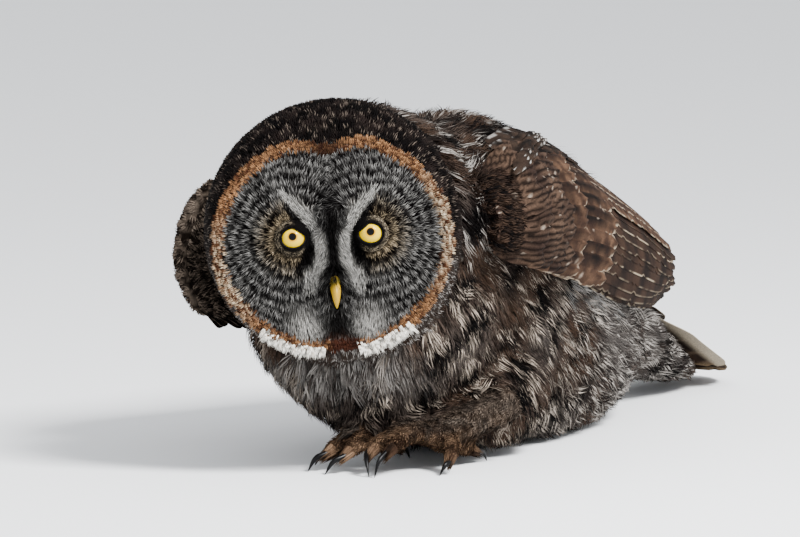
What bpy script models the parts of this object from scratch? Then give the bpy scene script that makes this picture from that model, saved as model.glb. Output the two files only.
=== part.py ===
"""Great grey owl, life size, crouched low with its breast raised on both feet and its face turned left.

Lengths are millimetres in this file, and each mesh is made in metres. The owl faces -Y, its left side is
+X, and the ground is z = 0. The bird is laid out with its spine over x = 0, its trunk is then rolled to
its right, and the finished model is moved so that the middle of its floor box is the origin.
"""

import math

import bmesh
import bpy
import numpy as np

MM = 0.001
GAP = 0.32
BOOLEAN_SOLVER = "MANIFOLD"
# Corners of one shape closer than this, in metres, are made one.
SAME_PLACE = 4e-6

# The trunk's coat: y, half width, lowest z, highest z, height of the widest line, belly sharpness.
TRUNK_STATIONS = (
    (-46, 16, 66, 104, 86, 2.0),
    (-34, 54, 36, 136, 88, 1.7),
    (-12, 80, 16, 172, 96, 1.5),
    (20, 91, 7, 194, 106, 1.5),
    (60, 94, 3, 200, 110, 1.7),
    (105, 94, -8, 217, 108, 2.2),
    (155, 90, -18, 228, 100, 2.5),
    (205, 82, -17, 220, 88, 2.6),
    (255, 72, -14, 196, 76, 2.6),
    (305, 59, -3, 167, 66, 2.4),
    (350, 45, 11, 137, 60, 2.2),
    (385, 30, 28, 110, 64, 2.0),
    (405, 10, 44, 92, 66, 2.0),
)
TRUNK_SIDES = 28
ROLL = math.radians(12)
ROLL_AXIS = (5, 115)
ROLL_FADES = (280, 460)
TAIL_ROLL = math.radians(2)

# The head: a ball of feathers with the facial disc set in its front.
FACE_CENTRE = (22.5, -76.0, 155.0)
FACE_TURN = math.radians(28)
FACE_LIFT = math.radians(6)
FACE_TILT = math.radians(3.5)
DISC_HALF_WIDTH = 79
DISC_HALF_HEIGHT = 72
DISC_DEPTH = 9
HEAD_RADIUS = 90
HEAD_CENTRE = (4, 8.5, -45)
HEAD_SIDES = 40
EYE_SPAN = 51
EYE_LEVEL = 4.6
EYE_RADIUS = 9.4
EYE_FRONT = -1.5
LID_THICKNESS = 1.5
LID_OPENING = (7.9, 6.9)
LID_SIDES = 20

NECK_RINGS = ((-40, 60, 64), (-10, 84, 84), (30, 92, 88), (70, 88, 82), (100, 60, 56))
NECK_PARTING = (38, (0.0, 0.8, -0.6))


def smooth(edge0, edge1, value):
    """0 below edge0, 1 above edge1, and an S curve between."""
    share = min(1.0, max(0.0, (value - edge0) / (edge1 - edge0)))
    return share * share * (3 - 2 * share)


def blend_points(points, value):
    """A smooth curve through the rows of points, whose first number is the parameter."""
    rows = np.asarray(points, float)
    keys = rows[:, 0]
    slopes = np.gradient(rows[:, 1:], keys, axis=0)
    last = len(keys) - 2
    i = int(np.clip(np.searchsorted(keys, value) - 1, 0, last))
    span = keys[i + 1] - keys[i]
    a = min(1.0, max(0.0, (value - keys[i]) / span))
    start, end = rows[i, 1:], rows[i + 1, 1:]
    return (
        (2 * a**3 - 3 * a**2 + 1) * start
        + (a**3 - 2 * a**2 + a) * span * slopes[i]
        + (3 * a**2 - 2 * a**3) * end
        + (a**3 - a**2) * span * slopes[i + 1]
    )


def rolled(point):
    """The place of a point of the trunk, wings or tail once the bird leans to its right."""
    x, y, z = point
    angle = TAIL_ROLL + (ROLL - TAIL_ROLL) * (1 - smooth(*ROLL_FADES, y))
    dx, dz = x - ROLL_AXIS[0], z - ROLL_AXIS[1]
    sine, cosine = math.sin(angle), math.cos(angle)
    return np.array((ROLL_AXIS[0] + dx * cosine - dz * sine, y, ROLL_AXIS[1] + dx * sine + dz * cosine))


def face_axes():
    out = np.array(
        (
            math.sin(FACE_TURN) * math.cos(FACE_LIFT),
            -math.cos(FACE_TURN) * math.cos(FACE_LIFT),
            math.sin(FACE_LIFT),
        )
    )
    side = np.cross((0, 0, 1), out)
    side /= np.linalg.norm(side)
    up = np.cross(out, side)
    turn, lean = math.cos(FACE_TILT), math.sin(FACE_TILT)
    return side * turn + up * lean, up * turn - side * lean, out


FACE_SIDE, FACE_UP, FACE_OUT = face_axes()


def on_face(u, v, w):
    """A point given across, up and out of the face."""
    return np.array(FACE_CENTRE) + u * FACE_SIDE + v * FACE_UP + w * FACE_OUT


def clear_scene():
    for obj in list(bpy.data.objects):
        bpy.data.objects.remove(obj, do_unlink=True)
    for mesh in list(bpy.data.meshes):
        bpy.data.meshes.remove(mesh)


def new_collection(name):
    made = bpy.data.collections.new(name)
    bpy.context.scene.collection.children.link(made)
    return made


clear_scene()
OWL = new_collection("great_grey_owl")
CUTTERS = new_collection("cutters")


def material(name, colour, roughness):
    made = bpy.data.materials.new(name)
    made.use_nodes = True
    shader = made.node_tree.nodes["Principled BSDF"]
    shader.inputs["Base Color"].default_value = (*colour, 1)
    shader.inputs["Roughness"].default_value = roughness
    shader.inputs["Metallic"].default_value = 0.0
    return made


PLUMAGE = material("grey_plumage", (0.13, 0.115, 0.10), 0.9)
WING_BROWN = material("brown_flight_feathers", (0.15, 0.10, 0.07), 0.8)
FACE_GREY = material("facial_disc", (0.19, 0.19, 0.19), 0.9)
FOOT_DOWN = material("feathered_foot", (0.14, 0.10, 0.08), 0.9)
CLAW_HORN = material("black_claw", (0.02, 0.02, 0.022), 0.35)
BILL_HORN = material("yellow_bill", (0.60, 0.50, 0.10), 0.4)
EYE_YELLOW = material("yellow_eye", (0.83, 0.66, 0.16), 0.1)
LID_BLACK = material("black_lid", (0.015, 0.014, 0.013), 0.6)


def solid(name, points, faces, finish, collection=None):
    """A mesh object from points in millimetres."""
    mesh = bpy.data.meshes.new(name)
    mesh.from_pydata([tuple(float(c) * MM for c in point) for point in points], [], faces)
    shape = bmesh.new()
    shape.from_mesh(mesh)
    bmesh.ops.remove_doubles(shape, verts=shape.verts, dist=2e-6)
    bmesh.ops.triangulate(shape, faces=[face for face in shape.faces if len(face.verts) > 3])
    bmesh.ops.recalc_face_normals(shape, faces=shape.faces)
    shape.to_mesh(mesh)
    shape.free()
    mesh.materials.append(finish)
    mesh.shade_smooth()
    obj = bpy.data.objects.new(name, mesh)
    (collection or OWL).objects.link(obj)
    if collection is CUTTERS:
        obj.hide_render = True
        obj.display_type = "WIRE"
    return obj


def ring_faces(count, sides, offset=0):
    """Quads between rings of points, closed by a fan at each end."""
    faces = []
    for i in range(count - 1):
        for j in range(sides):
            k = (j + 1) % sides
            row, above = offset + i * sides, offset + (i + 1) * sides
            faces.append((row + j, row + k, above + k, above + j))
    first, last = offset + count * sides, offset + count * sides + 1
    top = offset + (count - 1) * sides
    for j in range(sides):
        k = (j + 1) % sides
        faces.append((first, offset + k, offset + j))
        faces.append((last, top + j, top + k))
    return faces


def loft(name, rings, finish, collection=None):
    """A closed solid through rings of points, each end closed to the middle of its ring."""
    sides = len(rings[0])
    points = [point for ring in rings for point in ring]
    points += [np.mean(rings[0], axis=0), np.mean(rings[-1], axis=0)]
    return solid(name, points, ring_faces(len(rings), sides), finish, collection)


def modified(obj, kind, settings):
    """Applies one modifier and keeps its result as the object's mesh."""
    modifier = obj.modifiers.new(kind.lower(), kind)
    for key, value in settings.items():
        setattr(modifier, key, value)
    graph = bpy.context.evaluated_depsgraph_get()
    graph.update()
    result = bpy.data.meshes.new_from_object(obj.evaluated_get(graph))
    obj.modifiers.remove(modifier)
    before = obj.data
    obj.data = result
    bpy.data.meshes.remove(before)


def keep_largest(obj):
    """Drops every loose scrap and sealed hollow, and keeps the closed surface with the largest box."""
    shape = bmesh.new()
    shape.from_mesh(obj.data)
    bmesh.ops.remove_doubles(shape, verts=shape.verts, dist=SAME_PLACE)
    unseen = set(shape.verts)
    best, best_size = set(), -1.0
    while unseen:
        stack, found = [unseen.pop()], set()
        while stack:
            vert = stack.pop()
            found.add(vert)
            for edge in vert.link_edges:
                other = edge.other_vert(vert)
                if other in unseen:
                    unseen.remove(other)
                    stack.append(other)
        spread = np.array([vert.co for vert in found])
        size = float(np.prod(spread.max(axis=0) - spread.min(axis=0)))
        if size > best_size:
            best, best_size = found, size
    bmesh.ops.delete(shape, geom=[vert for vert in shape.verts if vert not in best], context="VERTS")
    bmesh.ops.triangulate(shape, faces=[face for face in shape.faces if len(face.verts) > 3])
    shape.to_mesh(obj.data)
    shape.free()
    obj.data.shade_smooth()


def remove(objects):
    for obj in objects:
        mesh = obj.data
        bpy.data.objects.remove(obj, do_unlink=True)
        bpy.data.meshes.remove(mesh)


def cut(obj, cutters):
    """Takes each cutter away from the object."""
    for cutter in cutters:
        modified(obj, "BOOLEAN", {"operation": "DIFFERENCE", "object": cutter, "solver": BOOLEAN_SOLVER})
    keep_largest(obj)


def join(obj, pieces):
    """Fuses the pieces into the object, and removes them."""
    group = new_collection("pieces_of_" + obj.name)
    for piece in pieces:
        OWL.objects.unlink(piece)
        group.objects.link(piece)
    settings = {"operand_type": "COLLECTION", "collection": group, "solver": BOOLEAN_SOLVER}
    modified(obj, "BOOLEAN", {"operation": "UNION", **settings})
    keep_largest(obj)
    remove(pieces)
    bpy.data.collections.remove(group)


def trunk_ring(station, grow):
    y, half_width, low, high, middle, sharpness = station
    ring = []
    for i in range(TRUNK_SIDES):
        angle = 2 * math.pi * i / TRUNK_SIDES
        across, rise = math.cos(angle), math.sin(angle)
        power = 2.0 if rise > 0 else sharpness
        reach = (abs(across) ** power + abs(rise) ** power) ** (-1 / power)
        height = (high - middle if rise > 0 else middle - low) + grow
        x = (half_width + grow) * across * reach
        point = rolled((x, y, middle + height * rise * reach))
        point[2] = max(point[2], 0.0)
        ring.append(point)
    return ring


def trunk(name, grow=0.0, collection=None):
    """The body's coat, from the breast to the rump, flat where it rests on the ground."""
    first, last = TRUNK_STATIONS[0][0], TRUNK_STATIONS[-1][0]
    steps = [first - grow, *(row[0] for row in TRUNK_STATIONS[1:-1]), last + grow]
    rings = [trunk_ring((y, *row[1:]), grow) for y, row in zip(steps, TRUNK_STATIONS)]
    obj = loft(name, rings, PLUMAGE, collection)
    if collection is CUTTERS:
        for vert in obj.data.vertices:
            if vert.co.z <= 0:
                vert.co.z = -GAP * MM
    return obj


def disc_reach(angle):
    """The facial disc's radius at an angle about its middle, with a notch above the bill and one below."""
    reach = 1 / math.hypot(math.cos(angle) / DISC_HALF_WIDTH, math.sin(angle) / DISC_HALF_HEIGHT)
    from_top = math.atan2(math.sin(angle - math.pi / 2), math.cos(angle - math.pi / 2))
    from_foot = math.atan2(math.sin(angle + math.pi / 2), math.cos(angle + math.pi / 2))
    notch = 0.09 * math.exp(-((from_top / 0.26) ** 2)) + 0.04 * math.exp(-((from_foot / 0.2) ** 2))
    return reach * (1 - notch)


def disc_height(u, v):
    """How far the facial disc stands out of the plane of its rim."""
    angle = math.atan2(v, u)
    share = min(1.0, math.hypot(u, v) / disc_reach(angle))
    dish = -DISC_DEPTH * (1 - share**3)
    ridge = 9.5 * math.exp(-((u / 11) ** 2)) * smooth(44, 12, v) * smooth(-58, -30, v)
    muzzle = 6 * math.exp(-((u / 12) ** 2) - ((v + 30) / 14) ** 2)
    return dish + ridge + muzzle


def head(name, grow=0.0, collection=None):
    """The feathered head: rings run from the middle of the disc over its rim and back to the nape."""
    rings = []
    angles = [2 * math.pi * i / HEAD_SIDES for i in range(HEAD_SIDES)]
    for share in (0.12, 0.28, 0.44, 0.6, 0.76, 0.9, 1.0):
        ring = []
        for angle in angles:
            reach = (disc_reach(angle) + grow) * share
            u, v = reach * math.cos(angle), reach * math.sin(angle)
            ring.append(on_face(u, v, disc_height(u, v) + grow))
        rings.append(ring)
    for degrees in (71, 84, 98, 113, 129, 146, 164):
        polar = math.radians(degrees)
        ring = []
        for angle in angles:
            reach = (HEAD_RADIUS + grow) * math.sin(polar)
            shift = smooth(60, 82, degrees)
            u = HEAD_CENTRE[0] * shift + reach * math.cos(angle)
            v = HEAD_CENTRE[1] * shift + reach * math.sin(angle)
            ring.append(on_face(u, v, HEAD_CENTRE[2] + (HEAD_RADIUS + grow) * math.cos(polar)))
        rings.append(ring)
    return loft(name, rings, FACE_GREY, collection)


def neck_form(name, grow=0.0, collection=None):
    """The thick feathered neck from inside the head to inside the shoulders."""
    start = on_face(*HEAD_CENTRE)
    along = rolled((0, 95, 150)) - start
    along /= np.linalg.norm(along)
    side = np.cross((0, 0, 1), along)
    side /= np.linalg.norm(side)
    up = np.cross(along, side)
    rings = []
    for place, wide, tall in NECK_RINGS:
        centre = start + along * place
        ring = []
        for i in range(TRUNK_SIDES):
            angle = 2 * math.pi * i / TRUNK_SIDES
            ring.append(
                centre
                + side * (wide + grow) * math.cos(angle)
                + up * (tall + grow) * math.sin(angle)
            )
        rings.append(ring)
    return loft(name, rings, PLUMAGE, collection)


# The folded wing, before the roll: rows of its lower edge, its outward pull and its upper edge, as places
# that begin with how far they lie from the wrist to the tips.
WING_LOWER = (
    (0.0, 110, 2, 119),
    (0.22, 110, 74, 104),
    (0.42, 101, 146, 89),
    (0.68, 83, 250, 71),
    (1.0, 45, 405, 60),
)
WING_PULL = (
    (0.0, 132, 2, 148),
    (0.22, 136, 76, 146),
    (0.42, 128, 148, 142),
    (0.68, 104, 255, 121),
    (1.0, 62, 419, 90),
)
WING_UPPER = (
    (0.0, 102, 8, 180),
    (0.22, 90, 90, 188),
    (0.42, 74, 170, 181),
    (0.68, 52, 276, 154),
    (1.0, 27, 424, 109),
)
# The right wing hangs a little open at the wrist: what is added to the first row of each table above.
WING_OPEN = ((21, 0, -3), (25, 0, 27), (-3, 0, 32.6))
WING_DEPTH = 12
# The lowest secondary lies this high over the wing's base surface, and the highest this much higher still.
WING_SEAT = -4.0
WING_RISE = 8.5
# The smooth front of the wing steps down behind each tier's roots: how far along, and its height over the seat.
FRONT_STEPS = ((0.0, 7.0), (0.03, 7.0), (0.13, 7.0), (0.15, 3.9), (0.24, 3.9), (0.26, 0.8), (0.34, 0.8))
FRONT_END = (0.38, -9.0)
FRONT_COLUMNS = (0.0, 0.05, 0.15, 0.3, 0.47, 0.65, 0.82, 0.95, 1.0)
# Every feather of a wing bends at the same places along it, so that those that overlap stay apart.
WING_BENDS = (0.3, 0.5, 0.7, 0.88)
VANE_THICKNESS = 0.6
ROOT_DEPTH = 2.2
# A feather longer than this beyond its last bend, as a share of the wing, gets one more near its tip.
TIP_REACH = 0.08
# For each tier of a wing: feathers, half width, root (along, first across, last across), tips of the first
# and the last (along, across), and the heights of the first and the last.
WING_TIERS = {
    "primary": (4, 11.5, (0.28, 0.1, 0.2), ((0.975, 0.06), (1.0, 0.36)), (-8.1, -5.0)),
    "secondary": (6, 14, (0.2, 0.12, 0.82), ((0.86, 0.08), (0.985, 0.88)), (-3.8, 2.2)),
    "greater_covert": (5, 14, (0.11, 0.14, 0.84), ((0.53, 0.14), (0.6, 0.9)), (-0.4, 5.5)),
    "median_covert": (5, 13.5, (0.06, 0.16, 0.84), ((0.34, 0.14), (0.4, 0.84)), (2.8, 8.5)),
}


def wing_point(s, t, side):
    """A point on the wing's base surface: s from the wrist to the tips, t from the lower to the upper edge."""
    low, pull, high = (blend_points(rows, s) for rows in (WING_LOWER, WING_PULL, WING_UPPER))
    if side < 0:
        share = max(0.0, 1 - s / 0.5) ** 2
        low, pull, high = (row + share * np.array(extra) for row, extra in zip((low, pull, high), WING_OPEN))
    point = (1 - t) ** 2 * low + 2 * t * (1 - t) * pull + t * t * high
    return np.array((point[0] * side, point[1], point[2]))


def wing_place(s, t, height, side):
    """A point at a height over the wing's base surface, rolled with the bird."""
    step = 0.01
    along = wing_point(min(1.0, s + step), t, side) - wing_point(max(0.0, s - step), t, side)
    across = wing_point(s, min(1.0, t + step), side) - wing_point(s, max(0.0, t - step), side)
    normal = np.cross(along, across) * side
    normal /= np.linalg.norm(normal)
    return rolled(wing_point(s, t, side) + normal * height)


def vane(name, place, stations, finish=WING_BROWN):
    """A thin feather: stations are along, inner half width, outer half width and height for each row.

    place(along, across, height) gives a point, with across in millimetres from the shaft.
    """
    rings = []
    for along, inner, outer, height in stations:
        upper = [place(along, across, height + VANE_THICKNESS / 2) for across in (-inner, 0.0, outer)]
        lower = [place(along, across, height - VANE_THICKNESS / 2) for across in (-inner, 0.0, outer)]
        rings.append(upper + lower[::-1])
    count = len(rings)
    points = [point for ring in rings for point in ring]
    faces = [(2, 1, 4, 3), (1, 0, 5, 4)]
    last = 6 * (count - 1)
    faces += [(last + 1, last + 2, last + 3, last + 4), (last, last + 1, last + 4, last + 5)]
    for i in range(count - 1):
        row, above = 6 * i, 6 * (i + 1)
        for j in (0, 1):
            low, high = (row + 5 - j, above + 5 - j), (row + 4 - j, above + 4 - j)
            faces.append((row + j, row + j + 1, above + j + 1))
            faces.append((row + j, above + j + 1, above + j))
            faces.append((low[0], high[1], high[0]))
            faces.append((low[0], low[1], high[1]))
        faces.append((row + 2, row + 3, above + 3, above + 2))
        faces.append((row, above, above + 5, row + 5))
    return solid(name, points, faces, finish)


def vane_shape(share):
    """A feather's half width along it, from a narrow root to a rounded tip."""
    return min(0.6 + 1.3 * share, 1.0) * math.sqrt(max(0.0, 1 - max(0.0, (share - 0.7) / 0.31) ** 2))


def front_height(s, t):
    """How far the wing's smooth front stands over the base surface."""
    over_seat = float(np.interp(s, *zip(*FRONT_STEPS)))
    height = WING_SEAT + WING_RISE * t + over_seat
    last = FRONT_STEPS[-1][0]
    return height + (FRONT_END[1] - height) * smooth(last, FRONT_END[0], s)


def wing_vane(name, side, root, tip, half_width, height):
    """One feather of the wing from its root to its tip, each given along and across the wing."""
    (s0, t0), (s1, t1) = root, tip
    steps = [s0, *(s for s in WING_BENDS if s0 + 0.03 < s < s1 - 0.03), s1]
    if s1 - steps[-2] > TIP_REACH:
        steps.insert(-1, s1 - TIP_REACH / 5)
    depth = min(height, front_height(s0, t0) - ROOT_DEPTH)

    def middle(s):
        t = t0 + (t1 - t0) * (s - s0) / (s1 - s0)
        return t, np.linalg.norm(wing_point(s, t + 0.05, side) - wing_point(s, t - 0.05, side)) / 0.1

    stations = []
    for s in steps:
        wide = half_width * vane_shape((s - s0) / (s1 - s0))
        t, reach = middle(s)
        below, above = min(wide, t * reach), min(wide, max(1.0, (1.0 - t) * reach))
        stations.append((s, below, above, depth if s == s0 else height))

    def place(s, across, height_here):
        t, reach = middle(s)
        return wing_place(s, t + across / reach, height_here, side)

    return vane(name, place, stations)


def wing_core(name, side):
    """The smooth front of the wing: the arm and the small coverts over it."""
    rings = []
    for s in (*(row[0] for row in FRONT_STEPS), FRONT_END[0]):
        front = 0.1 + 0.9 * math.sqrt(1 - (1 - min(1.0, s / 0.09)) ** 2)
        outer, inner = [], []
        for t in FRONT_COLUMNS:
            edge = 0.12 + 0.88 * math.sqrt(min(1.0, t / 0.16, (1 - t) / 0.16))
            height = front_height(s, t)
            middle = min(-2.0, height - 1.5)
            outer.append(wing_place(s, t, middle + (height - middle) * front * edge, side))
            inner.append(wing_place(s, t, middle - (WING_DEPTH + middle + 2) * front * edge, side))
        rings.append(outer + inner[::-1])
    return loft(name, rings, WING_BROWN)


def wing_feathers(side):
    """Every feather of one wing, tier by tier from the longest to the shortest."""
    made = []
    for tier, (count, half_width, (s0, *across), tips, heights) in WING_TIERS.items():
        for i in range(count):
            share = i / max(1, count - 1)
            root = (s0, float(np.interp(share, (0, 1), across)))
            tip = tuple(float(np.interp(share, (0, 1), ends)) for ends in zip(*tips))
            height = float(np.interp(share, (0, 1), heights))
            made.append(wing_vane(f"{tier}_{i}", side, root, tip, half_width, height))
    return made


def wing(name, side, cutters):
    """A folded wing: its smooth front, cut to lie on the body, with every feather rooted in it."""
    front = wing_core(name, side)
    cut(front, cutters)
    join(front, wing_feathers(side))


# The rump and the coverts under the tail: y, half width and lowest z.
TAIL_STATIONS = (
    (325, 33, 40),
    (360, 39, 24),
    (400, 40, 14),
    (428, 41, 11),
    (436, 41, 10),
    (460, 40, 6),
    (480, 36, 0),
    (515, 24, 0),
    (534, 8, 2),
)
TAIL_SIDES = 16
TAIL_SQUARENESS = 2.6
# The middle line of the tail's highest feathers: y and z.
TAIL_HEIGHTS = ((300, 119), (360, 90), (400, 71), (440, 52), (475, 35), (505, 21.5), (530, 13), (554, 8.5))
# Over that line: the rump before the step, and the soft coverts under the feathers behind it.
TAIL_STEP = 432
RUMP_HEIGHT = 2.0
UNDERTAIL_HEIGHT = -8.6
# The feathers, from the middle pair outwards: their layers' spacing, width, bends, root and tips.
TAIL_LAYER = 1.1
TAIL_HALF_WIDTH = 17.5
TAIL_BENDS = (452, 495, 528)
TAIL_ROOT = 412
TAIL_TIPS = (554, 551, 545, 537, 526, 510)
TAIL_ROOT_SPREAD = 4.4
TAIL_TIP_SPREAD = 5.4
MIDLINE_GAP = 0.8
TAIL_COVERTS = 2
TAIL_COVERT_TIP = 482
TAIL_COVERT_SPREAD = 15


def tail_place(y, across, height):
    """A point of the tail, by its distance from the midline and its height over the middle feathers."""
    return rolled((across, y, float(blend_points(TAIL_HEIGHTS, y)[0]) + height))


def tail_core(name):
    """The rump and the loose coverts under the tail, out to the ground."""
    rings = []
    for y, half_width, low in TAIL_STATIONS:
        high = float(blend_points(TAIL_HEIGHTS, y)[0]) + (RUMP_HEIGHT if y < TAIL_STEP else UNDERTAIL_HEIGHT)
        ring = []
        middle = high - min(6.0, (high - low) / 2)
        for i in range(TAIL_SIDES):
            angle = 2 * math.pi * i / TAIL_SIDES
            across, rise = math.cos(angle), math.sin(angle)
            reach = (abs(across) ** TAIL_SQUARENESS + abs(rise) ** TAIL_SQUARENESS) ** (-1 / TAIL_SQUARENESS)
            height = high - middle if rise > 0 else middle - low
            point = rolled((half_width * across * reach, y, middle + height * rise * reach))
            point[2] = max(point[2], 0.0)
            ring.append(point)
        rings.append(ring)
    return loft(name, rings, WING_BROWN)


def tail_vane(name, sign, root, tip, half_width, height, central=False, sink=0.0):
    """One feather of the tail; root and tip are y and the distance from the midline."""
    (y0, u0), (y1, u1) = root, tip
    steps = [y0, *(y for y in TAIL_BENDS if y0 + 8 < y < y1 - 10), y1 - 5, y1]

    def middle(y):
        return u0 + (u1 - u0) * (y - y0) / (y1 - y0)

    stations = []
    for y in steps:
        wide = half_width * vane_shape((y - y0) / (y1 - y0))
        inner = wide if central else min(wide, max(1.5, middle(y) - MIDLINE_GAP))
        stations.append((y, inner, wide, height - (sink if y == y0 else 0)))

    def place(y, across, height_here):
        return tail_place(y, sign * (middle(y) + across), height_here)

    return vane(name, place, stations)


def tail_feathers():
    """Twelve long feathers, the middle pair on top, and the short coverts over their roots."""
    made = []
    for sign in (1, -1):
        for i, tip in enumerate(TAIL_TIPS):
            layer = 0 if i == 0 and sign > 0 else i + 1
            ends = (TAIL_ROOT, 1.5 + TAIL_ROOT_SPREAD * i), (tip, 2 + TAIL_TIP_SPREAD * i)
            height = -TAIL_LAYER * layer
            made.append(tail_vane(f"rectrix_{i}_{sign}", sign, *ends, TAIL_HALF_WIDTH, height, central=i == 0))
        for i in range(TAIL_COVERTS):
            ends = (TAIL_ROOT, 5 + 13 * i), (TAIL_COVERT_TIP - 14 * i, 8 + TAIL_COVERT_SPREAD * i)
            height = 3.9 - TAIL_LAYER * i
            made.append(tail_vane(f"tail_covert_{i}_{sign}", sign, *ends, TAIL_COVERT_SPREAD, height, sink=4.5))
    return made


def tail(name, cutters):
    """The tail: the rump and the coverts under it, with every feather rooted in them."""
    core = tail_core(name)
    cut(core, cutters)
    join(core, tail_feathers())


RUFF_VANES = 30
RUFF_ROOT = 0.93
# A ruff feather's distance out from its root, half width and height over the rim, row by row.
RUFF_ROWS = ((-4.0, 7.2, -5.2), (4.0, 8.6, 0.2), (12.0, 1.6, 0.9))


def ruff_vane(index):
    """One of the short stiff feathers that edge the facial disc; every second one lies on its neighbours."""
    angle = 2 * math.pi * (index + 0.5) / RUFF_VANES
    lift = 1.3 * (index % 2)
    rings = []
    for outward, half_width, height in RUFF_ROWS:
        ring = []
        for across, rise in ((-1, 0.45), (1, 0.45), (1, -0.45), (-1, -0.45)):
            here = angle + across * half_width / DISC_HALF_WIDTH
            radius = disc_reach(here) * RUFF_ROOT + outward
            ring.append(on_face(radius * math.cos(here), radius * math.sin(here), height + lift + rise))
        rings.append(ring)
    points = [point for ring in rings for point in ring]
    last = 4 * (len(rings) - 1)
    faces = [(3, 2, 1, 0), (last, last + 1, last + 2, last + 3)]
    for row in range(0, last, 4):
        for j in range(4):
            k = (j + 1) % 4
            faces.append((row + j, row + k, row + 4 + k, row + 4 + j))
    return solid(f"ruff_{index}", points, faces, FACE_GREY)


def eye_centre(side):
    return on_face(side * EYE_SPAN / 2, EYE_LEVEL, EYE_FRONT - EYE_RADIUS)


def ball(name, centre, radius, finish, collection=None, sides=16, rings=8):
    """A ball whose poles lie along the way the face looks."""
    rows = []
    for i in range(1, rings):
        polar = math.pi * i / rings
        ring = []
        for j in range(sides):
            angle = 2 * math.pi * j / sides
            spread = FACE_SIDE * math.cos(angle) + FACE_UP * math.sin(angle)
            ring.append(centre + radius * (FACE_OUT * math.cos(polar) + spread * math.sin(polar)))
        rows.append(ring)
    points = [point for ring in rows for point in ring]
    points += [centre + radius * FACE_OUT, centre - radius * FACE_OUT]
    return solid(name, points, ring_faces(len(rows), sides), finish, collection)


def slab(name, centre, heading, thick, span=400):
    """A wide thin box across a heading, to part two nodes."""
    side = np.cross((0, 0, 1), heading)
    side /= np.linalg.norm(side)
    up = np.cross(heading, side)
    corners = ((-1, -1), (1, -1), (1, 1), (-1, 1))
    rings = [
        [centre + heading * ahead + (side * a + up * b) * span for a, b in corners]
        for ahead in (-thick / 2, thick / 2)
    ]
    return loft(name, rings, PLUMAGE, CUTTERS)


def lid_ring(name, side, grow=0.0, collection=None):
    """The lids: a ring on the eyeball whose opening is an oval with a point towards the bill."""
    outer = EYE_RADIUS + LID_THICKNESS + grow
    inner = EYE_RADIUS + GAP - grow
    centre = eye_centre(side)
    rings = []
    profile = ((outer, 0.0), (outer, 0.5), (outer - 0.2, 0.94), (inner, 1.0), (inner, 0.5), (inner, 0.0))
    for radius, share in profile:
        ring = []
        for i in range(LID_SIDES):
            angle = 2 * math.pi * i / LID_SIDES
            wide, tall = LID_OPENING
            inward = max(0.0, -side * math.cos(angle))
            opening = wide * tall / math.hypot(tall * math.cos(angle), wide * math.sin(angle))
            opening *= 1 + 0.16 * inward**4
            polar_in = math.asin(min(0.97, (opening - grow) / (EYE_RADIUS + LID_THICKNESS)))
            polar_out = math.radians(96) + grow / outer
            polar = polar_out + (polar_in - polar_out) * share
            spread = FACE_SIDE * math.cos(angle) + FACE_UP * math.sin(angle)
            ring.append(centre + radius * (FACE_OUT * math.cos(polar) + spread * math.sin(polar)))
        rings.append(ring)
    points = [point for ring in rings for point in ring]
    faces = []
    for i in range(len(rings)):
        for j in range(LID_SIDES):
            k = (j + 1) % LID_SIDES
            row, above = i * LID_SIDES, (i + 1) % len(rings) * LID_SIDES
            faces.append((row + j, row + k, above + k, above + j))
    return solid(name, points, faces, LID_BLACK, collection)


# The bill, in the face's own directions: up, out, width and depth along its middle line.
UPPER_BILL = (
    (-12.0, -4.0, 9.4, 11.0),
    (-20.0, 3.0, 9.2, 11.0),
    (-27.0, 7.0, 8.4, 10.0),
    (-33.0, 9.0, 6.8, 8.0),
    (-38.0, 8.6, 4.6, 5.2),
    (-42.5, 5.8, 1.2, 1.8),
)
NOSTRIL = (3.8, -18.2, 5.7)
NOSTRIL_RADIUS = 1.0
LOWER_BILL = ((-22.0, -5.0, 7.0, 6.0), (-29.0, -0.5, 6.4, 5.0), (-35.0, 2.2, 4.0, 2.6), (-37.6, 3.0, 2.0, 1.0))


def bill_part(name, rows, grow=0.0, collection=None):
    """One half of the bill, lofted down its curve."""
    places = np.array([row[:2] for row in rows])
    headings = np.gradient(places, axis=0)
    rings = []
    for (up, out, wide, deep), heading in zip(rows, headings):
        heading = heading / np.linalg.norm(heading)
        across = np.array((-heading[1], heading[0]))
        ring = []
        for i in range(12):
            angle = 2 * math.pi * i / 12
            shift = across * (deep / 2 + grow) * math.sin(angle)
            ring.append(on_face((wide / 2 + grow) * math.cos(angle), up + shift[0], out + shift[1]))
        rings.append(ring)
    return loft(name, rings, BILL_HORN, collection)


# Each foot: the sole's middle, then toe by toe its knuckle, its end and its claw's tip.
SOLE = {"left": (62, 2, 21), "right": (20, -8, 20)}
ANKLE = {"left": (80, 38, 34), "right": (12, 24, 34)}
TOES = {
    "left": {
        "inner": ((44, -24, 25), (34, -45, 15), (41, -60, 0)),
        "middle": ((55, -26, 26), (49, -48, 16), (46, -62, 0)),
        "outer": ((76, -8, 18), (81, -20, 9), (79, -32, 0)),
        "hind": ((68, 22, 13), (71, 36, 9), (74, 50, 0)),
    },
    "right": {
        "inner": ((21, -30, 20), (18, -48, 12), (9, -60, 0)),
        "middle": ((6, -25, 19), (1, -41, 12), (-8, -51, 0)),
        "outer": ((3, -8, 15), (-7, -15, 9), (-18, -21, 0)),
        "hind": ((19, 12, 12), (20, 26, 9), (22, 40, 0)),
    },
}
TOE_RADIUS = 8.5
TOE_END_RADIUS = 6.6
CLAW_RADIUS = 3.0
ANKLE_RADIUS = 11.5
THIGH = {"left": ((64, 86, 44), (36, 48, 42)), "right": ((-16, 72, 42), (34, 46, 42))}


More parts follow.
